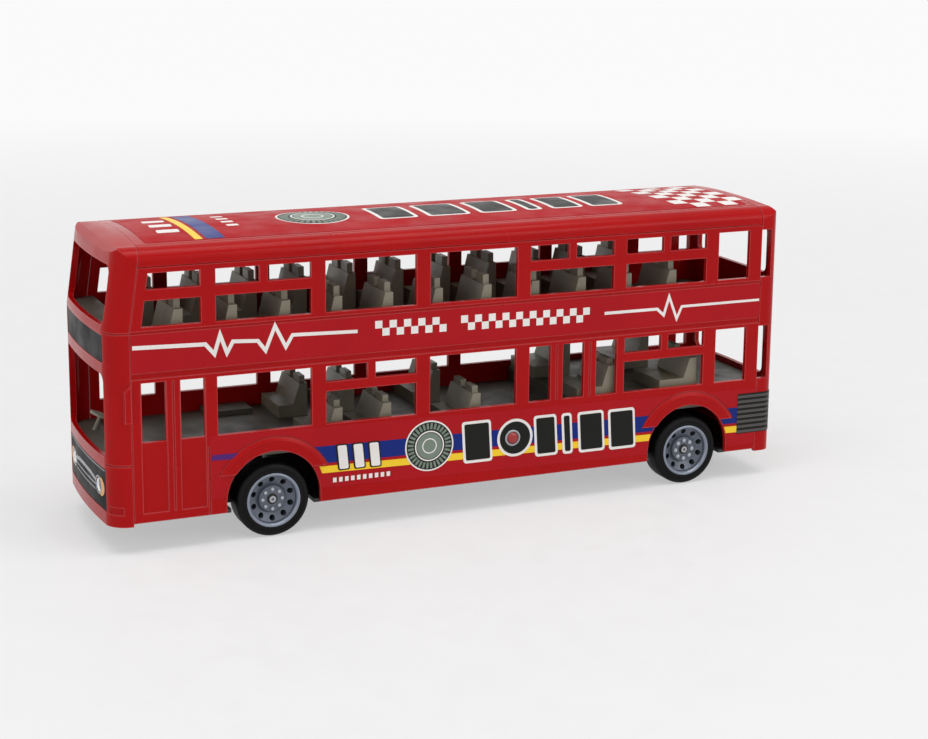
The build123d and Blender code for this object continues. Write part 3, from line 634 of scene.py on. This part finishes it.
# %% Helpers for flat films on the sides
def side_film(corners, side, layer, bm=None):
    """Film with (x, z) corners in mm, laid on a side wall as the given layer."""
    bm = bm or bmesh.new()
    foot = HALF_WIDTH + layer * FILM
    face = bm.faces.new([bm.verts.new((x * MM, side * foot * MM, z * MM)) for x, z in corners])
    face.normal_update()
    if face.normal.y * side < 0:
        face.normal_flip()
    lifted = bmesh.ops.extrude_face_region(bm, geom=[face], use_keep_orig=True)
    top = [v for v in lifted["geom"] if isinstance(v, bmesh.types.BMVert)]
    bmesh.ops.translate(bm, verts=top, vec=(0, side * FILM * MM, 0))
    bmesh.ops.recalc_face_normals(bm, faces=bm.faces)
    return bm


def film_piece(bm, name, finish):
    """Film as a piece of the body."""
    return make_piece(bm, name, "body", finish)


STICKER_SLOPE = 0.0168
FILM_REAR = -130.8


def laid(x, z):
    """Height of a sticker line at x, when it is z at the middle of the bus."""
    return (x, z + STICKER_SLOPE * x)


def arch_cutter(side, above_flare):
    """Discs that trim a film round the flares above their feet, or round the arches."""
    bm = bmesh.new()
    for x in (FRONT_AXLE_X, REAR_AXLE_X):
        radius = FLARE_RADIUS if above_flare else ARCH_RADIUS
        peg(bm, x, side * (HALF_WIDTH - 1), side * (HALF_WIDTH + 1), ARCH_CENTRE, radius + 0.4, 96)
    if above_flare:
        cut_off_below(bm, FLARE_LOW - 0.2)
    return bm


def trim_at_arches(piece, side):
    """Cut a side film back to the edges of both arches and flares."""
    drill(piece, arch_cutter(side, True))
    drill(piece, arch_cutter(side, False))


# %% [markdown]
# One long film covers the band between the decks, and a second one the lower side.
# The lower film is laid a little nose-up, ends at a slant behind the front arch,
# and is trimmed round both flares. Its blue and yellow stripes are films of their own.

# %% Band, lower side films and stripes
SIDE_FILMS = (
    ("band_film", crimson_film, 0, False, ((129.7, 67.4), (129.7, 81.3), (FILM_REAR, 81.3),
                                           (FILM_REAR, 67.4))),
    ("lower_film", crimson_film, 0, True, (laid(101.2, 24.0), laid(101.2, 39.6), laid(FILM_REAR, 39.6),
                                           laid(FILM_REAR, 16.0), laid(101.2, 16.0))),
    ("violet_bar", violet_film, 1, False, (laid(101.0, 30.5), laid(100.6, 32.6), laid(89.6, 32.6),
                                           laid(91.0, 30.5))),
    ("blue_stripe", blue_film, 1, True, (laid(62.6, 32.1), laid(60.2, 25.5), laid(FILM_REAR, 25.5),
                                         laid(FILM_REAR, 32.1))),
    ("yellow_stripe", yellow_film, 1, True, (laid(59.3, 24.3), laid(58.2, 21.6), laid(FILM_REAR, 21.6),
                                             laid(FILM_REAR, 24.3))))
for side_name, side in SIDES:
    for name, finish, layer, meets_arches, corners in SIDE_FILMS:
        piece = film_piece(side_film(corners, side, layer), name + "_" + side_name, finish)
        if meets_arches:
            trim_at_arches(piece, side)

# %% [markdown]
# A thin white line with two sharp beats runs along each end of the band. It is drawn
# once as a chain of points with a half thickness, and each run becomes a quad whose
# ends are mitred, so the corners stay sharp.

# %% Beat lines on the band
def beat_line(points, thickness, side, layer):
    """Mitred film along (x, z) points in mm."""
    bm = bmesh.new()
    rows = []
    for index, (x, z) in enumerate(points):
        before = Vector(points[max(index - 1, 0)])
        after = Vector(points[min(index + 1, len(points) - 1)])
        here = Vector((x, z))
        arms = [v.normalized() for v in (here - before, after - here) if v.length > 0]
        along = sum(arms, Vector((0, 0))).normalized()
        across = Vector((-along.y, along.x))
        reach = thickness[index] / 2 / max(0.28, abs(Vector((-arms[0].y, arms[0].x)).dot(across)))
        rows.append((here + across * reach, here - across * reach))
    for (a, b), (c, d) in zip(rows, rows[1:]):
        side_film([tuple(a), tuple(b), tuple(d), tuple(c)], side, layer, bm)
    return bm


front_beat = ((129.2, 76.8), (102.4, 76.0), (99.1, 72.1), (96.9, 79.0), (94.4, 72.1), (92.1, 76.2),
              (82.7, 75.6), (79.8, 71.7), (76.1, 80.6), (72.0, 72.4), (69.4, 76.7), (44.0, 75.9))
rear_beat = ((-59.6, 74.5), (-83.2, 74.4), (-86.2, 71.7), (-88.5, 79.0), (-92.2, 69.8), (-94.4, 74.6),
             (-130.6, 74.6))
for side_name, side in SIDES:
    for name, points, first, last in (("front", front_beat, 1.5, 1.3), ("rear", rear_beat, 1.2, 1.0)):
        thickness = [first + (last - first) * index / (len(points) - 1) for index in range(len(points))]
        line = beat_line(points, thickness, side, 1)
        film_piece(line, "beat_" + name + "_" + side_name, white_film)

# %% [markdown]
# Between the beat lines the band carries a light strip. Here it is a plain check in
# two rows, a pattern as old as road signs. The squares of a row are one bmesh: a
# square is drawn, then its neighbours two steps on.

# %% Checked strip on the band
def check_strip(x_start, x_end, z_start, z_end, square, side, layer):
    """Two rows of squares from x_start back to x_end, their middle line sloping."""
    bm = bmesh.new()
    count = round((x_start - x_end) / square)
    step = (x_start - x_end) / count
    for index in range(count):
        x = x_start - index * step
        middle = z_start + (z_end - z_start) * index / count
        low = middle if index % 2 == 0 else middle - square
        side_film([(x, low), (x, low + square), (x - step, low + square), (x - step, low)], side, layer, bm)
    return bm


for side_name, side in SIDES:
    for name, start, end in (("front", 37.0, 8.0), ("rear", 2.0, -53.0)):
        strip = check_strip(start, end, 75.6 + 0.02 * start, 75.6 + 0.02 * end, 2.9, side, 1)
        film_piece(strip, "check_" + name + "_" + side_name, white_film)

# %% [markdown]
# Round and slanted marks stand on the lower side and on the roof. A mark is first
# drawn flat, as a polygon or a disc whose corners bmesh's bevel rounds, and is then
# laid in place. The side is flat, but the roof is crowned, so there the flat mark
# is first cut across every few millimetres with bisect_plane, so it can bend.

# %% Helpers for flat marks
ROOF_TOP = 114.0
ROOF_EDGE = 112.4
ROOF_HALF = 28.0
ROOF_CURVE = (ROOF_HALF ** 2 + (ROOF_TOP - ROOF_EDGE) ** 2) / (2 * (ROOF_TOP - ROOF_EDGE))


def flat_polygon(corners, radius=0.0):
    """Bmesh of one flat face in the XY plane from corners in mm, with round corners."""
    bm = bmesh.new()
    face = bm.faces.new([bm.verts.new((x * MM, y * MM, 0)) for x, y in corners])
    if radius:
        round_off(bm, bm.verts[:], radius, 5, "VERTICES")
    return bm


def flat_ring(x, y, outer, inner, segments=64):
    """Bmesh of a flat disc, or of a ring where inner is over zero."""
    bm = bmesh.new()
    place = Matrix.Translation((x * MM, y * MM, 0))
    if inner <= 0:
        bmesh.ops.create_circle(bm, cap_ends=True, segments=segments, radius=outer * MM, matrix=place)
        return bm
    bmesh.ops.create_circle(bm, segments=segments, radius=outer * MM, matrix=place)
    bmesh.ops.create_circle(bm, segments=segments, radius=inner * MM, matrix=place)
    bmesh.ops.bridge_loops(bm, edges=bm.edges[:])
    return bm


def merge(parts):
    """One bmesh from several, which are used up."""
    whole = bmesh.new()
    for part in parts:
        mesh = bpy.data.meshes.new("part")
        part.to_mesh(mesh)
        part.free()
        whole.from_mesh(mesh)
        bpy.data.meshes.remove(mesh)
    return whole


def thicken(bm, direction):
    """Give flat faces the thickness of a film along a direction."""
    lifted = bmesh.ops.extrude_face_region(bm, geom=bm.faces[:], use_keep_orig=True)
    top = [v for v in lifted["geom"] if isinstance(v, bmesh.types.BMVert)]
    for vertex in top:
        vertex.co += Vector(direction) * FILM * MM
    bmesh.ops.recalc_face_normals(bm, faces=bm.faces)
    return bm


def onto_side(bm, side, layer):
    """Lay a flat drawing in (x, z) on a side wall."""
    for vertex in bm.verts:
        vertex.co = Vector((vertex.co.x, side * (HALF_WIDTH + layer * FILM) * MM, vertex.co.y))
    return thicken(bm, (0, side, 0))


def cut_across(bm, direction, lines):
    """Cut a flat drawing at each line in mm, square to (1, 0, 0) or (0, 1, 0)."""
    for line in lines:
        bmesh.ops.bisect_plane(bm, geom=bm.verts[:] + bm.edges[:] + bm.faces[:],
                               plane_co=[part * line * MM for part in direction], plane_no=direction)


def onto_roof(bm, layer):
    """Bend a flat drawing in (x, y) over the crowned roof."""
    cut_across(bm, (0, 1, 0), range(4 - int(ROOF_HALF), int(ROOF_HALF), 4))
    for vertex in bm.verts:
        across = vertex.co.y / MM
        drop = ROOF_CURVE - sqrt(ROOF_CURVE ** 2 - across ** 2)
        vertex.co.z = (ROOF_TOP - drop + FILM_LIFT + layer * FILM) * MM
    return thicken(bm, (0, 0, 1))


def slanted_block(left, right, low, high, slant=0.0):
    """Corners of a block, its top shifted by slant."""
    return ((left, low), (right, low), (right + slant, high), (left + slant, high))


# %% [markdown]
# The lower side carries a roundel, three small bars and a row of bold dark blocks
# with pale outlines. The push button stands in the middle of the one round block.
# Every mark is one film on another: a pale shape, and a smaller dark one on top.

# %% Marks on the lower sides
BUTTON_X = -20.4
BUTTON_Z = 28.0
MARK_SLOPE = 0.0217
BOLD_BLOCKS = ((1.6, -12.1), (-29.1, -40.4), (-41.2, -47.1), (-48.3, -61.3), (-61.9, -75.3))
SMALL_BARS = (50.0, 43.6, 37.2)
for side_name, side in SIDES:
    outlines = []
    fills = []
    bars = []
    for front, rear in BOLD_BLOCKS:
        middle = (front + rear) / 2
        low, high = 19.9 + MARK_SLOPE * middle, 36.6 + MARK_SLOPE * middle
        outlines.append(flat_polygon(slanted_block(rear + 0.2, front - 1.2, low, high, 1.0), 1.3))
        fills.append(flat_polygon(slanted_block(rear + 1.2, front - 2.2, low + 1.1, high - 1.1, 0.9), 0.7))
    outlines.append(flat_ring(BUTTON_X - 1.0, BUTTON_Z, 7.6, 0))
    fills.append(flat_ring(BUTTON_X - 1.0, BUTTON_Z, 6.5, 0))
    for centre in SMALL_BARS:
        low, high = 22.4 + MARK_SLOPE * centre, 31.6 + MARK_SLOPE * centre
        fills.append(flat_polygon(slanted_block(centre - 2.9, centre + 1.9, low - 0.5, high + 0.5, 1.0), 0.9))
        bars.append(flat_polygon(slanted_block(centre - 2.3, centre + 1.3, low, high, 0.9), 0.6))
    for index in range(10):
        shift = 2.4 * index
        bars.append(flat_polygon(slanted_block(54.0 - shift, 52.6 - shift, 18.6, 20.4)[::-1]))
    film_piece(onto_side(merge(outlines), side, 2), "pale_outlines_" + side_name, white_film)
    film_piece(onto_side(merge(fills), side, 3), "dark_blocks_" + side_name, black_film)
    film_piece(onto_side(merge(bars), side, 4), "pale_bars_" + side_name, white_film)
print("Blocks a side:", len(BOLD_BLOCKS) + 1)

# %% [markdown]
# The roundel is a plain one, built like a dial: a pale disc, a dark ring, and a
# ring of short ticks in grey-green round a grey-green middle.

# %% Roundels
def roundel(lay, tag, x, y, radius, layer):
    """Discs and ticks about (x, y), laid by the given helper."""
    ticks = []
    for index in range(32):
        turn = 2 * pi * index / 32
        tick = flat_polygon(slanted_block(-0.045 * radius, 0.045 * radius, 0.66 * radius, 0.9 * radius))
        bmesh.ops.rotate(tick, verts=tick.verts, cent=(0, 0, 0), matrix=Matrix.Rotation(turn + 0.3, 3, "Z"))
        bmesh.ops.translate(tick, verts=tick.verts, vec=(x * MM, y * MM, 0))
        ticks.append(tick)
    film_piece(lay(flat_ring(x, y, radius, 0), layer), "roundel_edge_" + tag, white_film)
    film_piece(lay(flat_ring(x, y, radius * 0.94, 0), layer + 1), "roundel_dark_" + tag, black_film)
    greens = merge(ticks + [flat_ring(x, y, radius * 0.52, 0)])
    film_piece(lay(greens, layer + 2), "roundel_green_" + tag, sage_film)
    whites = merge([flat_ring(x, y, radius * 0.6, radius * 0.55),
                    flat_ring(x, y, radius * 0.3, radius * 0.26)])
    film_piece(lay(whites, layer + 3), "roundel_lines_" + tag, white_film)


for side_name, side in SIDES:
    roundel(lambda bm, layer, side=side: onto_side(bm, side, layer), side_name, 14.8, 28.6, 10.0, 2)

# %% [markdown]
# The roof's raised panel carries a red film of its own, with a yellow and a blue
# stripe across it, a roundel, the same bold blocks, and a check towards the rear.

# %% Films on the roof
roof_sheet = flat_polygon(((121.5, -25.6), (121.5, 25.6), (-128.5, 25.6), (-128.5, -25.6)), 1.5)
film_piece(onto_roof(roof_sheet, 0), "roof_sheet", roof_film)
roof_yellow = flat_polygon(((102.9, -25.0), (102.9, 25.0), (100.0, 25.0), (100.0, -25.0)))
film_piece(onto_roof(roof_yellow, 1), "roof_yellow_stripe", yellow_film)
roof_blue = flat_polygon(((98.6, -25.0), (98.6, 25.0), (91.6, 25.0), (91.6, -25.0)))
film_piece(onto_roof(roof_blue, 1), "roof_blue_stripe", blue_film)
roundel(onto_roof, "roof", 49.5, 0.0, 14.2, 1)
outlines = []
fills = []
ROOF_BLOCKS = ((25.0, 9.0), (5.0, -13.0), (-17.0, -33.0), (-37.0, -44.0), (-48.0, -62.0), (-65.0, -80.0))
for front, rear in ROOF_BLOCKS:
    outlines.append(flat_polygon(slanted_block(rear, front, -13.0, 13.0, 1.5), 2.0))
    fills.append(flat_polygon(slanted_block(rear + 1.6, front - 1.6, -11.6, 11.6, 1.4), 1.2))
film_piece(onto_roof(merge(outlines), 1), "roof_outlines", white_film)
film_piece(onto_roof(merge(fills), 2), "roof_blocks", black_film)
bars = [flat_polygon(slanted_block(104.5, 113.0, y - 3.2, y + 1.8, 0.6), 0.8) for y in (-10.0, 0.6, 11.2)]
bars += [flat_polygon(slanted_block(81.0, 85.5, y, y + 3.0)) for y in (-16.0, -9.0, -2.0, 5.0)]
film_piece(onto_roof(merge(bars), 1), "roof_bars", white_film)
squares = []
for row in range(8):
    for column in range(5):
        if (row + column) % 2 == 0:
            x, y = -94.0 - column * 6.4 - row * 0.7, -25.0 + row * 6.2
            squares.append(flat_polygon(((x, y), (x - 6.4, y), (x - 6.9, y + 6.2), (x - 0.5, y + 6.2))))
film_piece(onto_roof(merge(squares), 1), "roof_check", white_film)

# %% [markdown]
# At the rear corners a dark film with grey bars runs from the side round the bend.
# The strip starts as one upright edge: extrude carries it along the side, and spin
# carries it on round the corner's own centre.

# %% Louvre films round the rear corners
TAIL_RADIUS = 5.0
TAIL_EDGE_X = -139.4
LOUVRE_FRONT = -122.2


def wrapped_strip(side, x_front, low, high, layer):
    """Film from x_front on a side wall to part of the way round the rear corner."""
    bm = bmesh.new()
    reach = HALF_WIDTH + layer * FILM
    bend_x = TAIL_EDGE_X + TAIL_RADIUS
    verts = [bm.verts.new((bend_x * MM, side * reach * MM, z * MM)) for z in (low, high)]
    edge = bm.edges.new(verts)
    flat = bmesh.ops.extrude_edge_only(bm, edges=[edge])
    moved = [v for v in flat["geom"] if isinstance(v, bmesh.types.BMVert)]
    bmesh.ops.translate(bm, verts=moved, vec=((x_front - bend_x) * MM, 0, 0))
    bmesh.ops.spin(bm, geom=verts + [edge], cent=(bend_x * MM, side * (HALF_WIDTH - TAIL_RADIUS) * MM, 0),
                   axis=(0, 0, side), angle=radians(68), steps=8, use_merge=False, use_duplicate=False)
    bmesh.ops.remove_doubles(bm, verts=bm.verts, dist=TOUCHING * MM)
    bmesh.ops.recalc_face_normals(bm, faces=bm.faces)
    if sum(face.normal.y * side for face in bm.faces) < 0:
        bmesh.ops.reverse_faces(bm, faces=bm.faces)
    bmesh.ops.solidify(bm, geom=bm.faces[:], thickness=-FILM * MM)
    return bm


for side_name, side in SIDES:
    film_piece(wrapped_strip(side, LOUVRE_FRONT, 18.8, 35.6, 2), "louvre_back_" + side_name, black_film)
    bars = [wrapped_strip(side, LOUVRE_FRONT, 19.1 + 2.1 * index, 20.2 + 2.1 * index, 3)
            for index in range(8)]
    film_piece(merge(bars), "louvre_bars_" + side_name, grey_film)

# %% [markdown]
# The nose bulges a little, so a mark on the grille panel is bent to it as the roof
# marks are: drawn flat in (y, z), cut into narrow strips, and moved to the curve.
# Silver lines run from lamp to lamp, and an amber crescent sits outside each lamp.

# %% Marks on the nose
NOSE_HALF = 26.0
NOSE_BULGE = 1.2
NOSE_CURVE = (NOSE_HALF ** 2 + NOSE_BULGE ** 2) / (2 * NOSE_BULGE)
PANEL_SINK = 0.2
LAMP_Y = 19.0
LAMP_Z = 23.5


def onto_nose(bm, layer):
    """Bend a flat drawing in (y, z) to the curve of the grille panel."""
    cut_across(bm, (1, 0, 0), range(-27, 28, 3))
    for vertex in bm.verts:
        across, up = vertex.co.x, vertex.co.y
        back = NOSE_CURVE - sqrt(NOSE_CURVE ** 2 - (across / MM) ** 2)
        vertex.co = Vector(((HALF_LENGTH - PANEL_SINK - back + FILM_LIFT + layer * FILM) * MM, across, up))
    return thicken(bm, (1, 0, 0))


lines = [flat_polygon(((-15.6, 23.8), (-9.0, 24.8), (0.0, 25.1), (9.0, 24.8), (15.6, 23.8), (16.0, 25.1),
                       (9.2, 26.3), (0.0, 26.6), (-9.2, 26.3), (-16.0, 25.1)), 0.3),
         flat_polygon(slanted_block(-15.5, 15.5, 22.6, 23.1)),
         flat_polygon(slanted_block(-15.0, 15.0, 20.6, 21.0)),
         flat_polygon(slanted_block(-26.5, 26.5, 30.3, 30.7))]
for side in (1, -1):
    lines.append(flat_ring(side * LAMP_Y, LAMP_Z, 3.5, 2.8, 48))
make_piece(onto_nose(merge(lines), 0), "silver_lines", "body", silver_film)
for side_name, side in SIDES:
    crescent = flat_polygon([(side * (LAMP_Y + 3.7 * cos(turn)), LAMP_Z + 3.7 * sin(turn))
                             for turn in [radians(-62 + 12.4 * step) for step in range(11)]]
                            + [(side * (LAMP_Y + 1.2 + 5.9 * cos(turn)), LAMP_Z + 3.9 * sin(turn))
                               for turn in [radians(64 - 12.8 * step) for step in range(11)]])
    make_piece(onto_nose(crescent, 1), "amber_crescent_" + side_name, "body", amber_plastic)

# %% [markdown]
# A lamp is a bright bowl behind a clear domed lens. Both are turned about an axis
# along X, so a second spinning helper is needed, with the section in (x, radius).

# %% Headlamps
def spun_forward(section, y, z, steps=48):
    """Bmesh of a closed section of (x, radius) points in mm, spun about an axis along X."""
    bm = bmesh.new()
    points = [bm.verts.new((x * MM, y * MM, (z + radius) * MM)) for x, radius in section]
    edges = [bm.edges.new(pair) for pair in zip(points, points[1:] + points[:1])]
    bmesh.ops.spin(bm, geom=points + edges, cent=(0, y * MM, z * MM), axis=(1, 0, 0), angle=2 * pi,
                   steps=steps, use_merge=True, use_duplicate=False)
    bmesh.ops.remove_doubles(bm, verts=bm.verts, dist=TOUCHING * MM)
    bmesh.ops.dissolve_degenerate(bm, edges=bm.edges, dist=TOUCHING * MM)
    bmesh.ops.recalc_face_normals(bm, faces=bm.faces)
    return bm


for side_name, side in SIDES:
    lens = spun_forward(((138.3, 0), (138.3, 2.62), (138.9, 2.62), (139.2, 2.35), (139.45, 1.85),
                         (139.62, 1.2), (139.7, 0.6), (139.72, 0)), side * LAMP_Y, LAMP_Z)
    make_piece(lens, "lens_" + side_name, "body", clear_plastic,
               ("headlamp_" + side_name,), 40)
    bowl = spun_forward(((136.3, 0), (136.3, 0.8), (136.9, 1.6), (137.6, 2.2), (138.25, 2.62),
                         (138.25, 2.45), (137.7, 2.05), (137.0, 1.45), (136.5, 0.7), (136.5, 0)),
                        side * LAMP_Y, LAMP_Z)
    make_piece(bowl, "bowl_" + side_name, "body", chrome, (), 40)
    bulb = spun_forward(((136.6, 0), (136.6, 0.5), (137.3, 0.5), (137.6, 0.3), (137.7, 0)),
                        side * LAMP_Y, LAMP_Z, 24)
    make_piece(bulb, "bulb_" + side_name, "body", nut_plastic, (), 40)
for node in ("tail_lamp_left", "tail_lamp_right"):
    softened(node, red_lens, 0.08, 2)

# %% [markdown]
# The push button is a glossy red dome in a dark ring. It is turned about an axis
# along Y, at the height of the button, by the helper that turned the wheels, with
# its result lifted from the wheels' centre to the button's.

# %% Push button
def button_part(section, name, finish, stands_for):
    """Turned piece about the button's axis, from (y, radius) points."""
    part = spun(section, BUTTON_X, 1, 64)
    bmesh.ops.translate(part, verts=part.verts, vec=(0, 0, (BUTTON_Z - WHEEL_RADIUS) * MM))
    bmesh.ops.dissolve_degenerate(part, edges=part.edges, dist=TOUCHING * MM)
    return make_piece(part, name, "body", finish, stands_for, 40)


button_part(((30.0, 0), (30.0, 2.28), (34.25, 2.28), (34.62, 2.05), (34.85, 1.6), (34.98, 1.0), (35.03, 0.5),
             (35.04, 0)), "domed_button", button_red, ("push_button",))
button_part(((32.2, 2.42), (34.2, 2.42), (34.38, 2.5), (34.42, 2.7), (34.42, 2.95), (34.36, 3.15),
             (34.2, 3.28), (32.2, 3.28)), "button_collar", silver_film, ("button_ring",))
button_part(((34.26, 3.3), (34.26, 4.6), (34.2, 4.65), (34.2, 3.3)), "button_surround", black_film,
            ())

# %% [markdown]
# Underneath, small round-headed screws hold the base plate, and one holds the cover
# of the battery box. A head is a flat cone with a bevelled rim. The cross in it is
# cut by two sets of bars, one set at a time, because a Boolean wants its cutters
# apart. Each head is seated where a ray from the ground meets the plate.

# %% Screws below
SCREW_RADIUS = 2.1
SCREW_HEIGHT = 0.9
SCREW_ROUND = 0.35
SCREW_ANGLE = 40
SLOT_WIDTH = 0.55
SLOT_LENGTH = 2.6
SLOT_DEPTH = 0.45


def screw_heads(name, node, places):
    """Round heads with a crossed slot on the underside of a node."""
    heads = bmesh.new()
    slots = [bmesh.new(), bmesh.new()]
    for x, y in places:
        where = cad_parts[node].ray_cast(Vector((x * MM, y * MM, 0)), Vector((0, 0, 1)))[1]
        middle = Matrix.Translation((x * MM, y * MM, where.z - SCREW_HEIGHT / 2 * MM))
        bmesh.ops.create_cone(heads, cap_ends=True, segments=32, radius1=SCREW_RADIUS * 0.9 * MM,
                              radius2=SCREW_RADIUS * MM, depth=SCREW_HEIGHT * MM, matrix=middle)
        foot = Matrix.Translation((x * MM, y * MM, where.z - SCREW_HEIGHT * MM))
        for slot, size in zip(slots, ((SLOT_LENGTH, SLOT_WIDTH), (SLOT_WIDTH, SLOT_LENGTH))):
            bar = Matrix.Diagonal((size[0] * MM, size[1] * MM, 2 * SLOT_DEPTH * MM, 1))
            bmesh.ops.create_cube(slot, size=1.0, matrix=foot @ bar)
    half_way = where.z - SCREW_HEIGHT / 2 * MM
    lower_rims = [e for e in heads.edges if all(v.co.z < half_way for v in e.verts)]
    round_off(heads, lower_rims, SCREW_ROUND, 4)
    piece = make_piece(heads, name, "body", axle_steel, (), SCREW_ANGLE)
    for slot in slots:
        drill(piece, slot)
    piece.data.set_sharp_from_angle(angle=radians(SCREW_ANGLE))


BASE_SCREWS = ((125, 22), (125, -22), (40, 24), (40, -24), (-60, 24), (-60, -24), (-128, 22), (-128, -22))
COVER_SCREWS = ((6, 0),)
screw_heads("base_screws", "base_plate", BASE_SCREWS)
screw_heads("cover_screw", "battery_cover", COVER_SCREWS)
print("Screws:", len(BASE_SCREWS) + len(COVER_SCREWS))
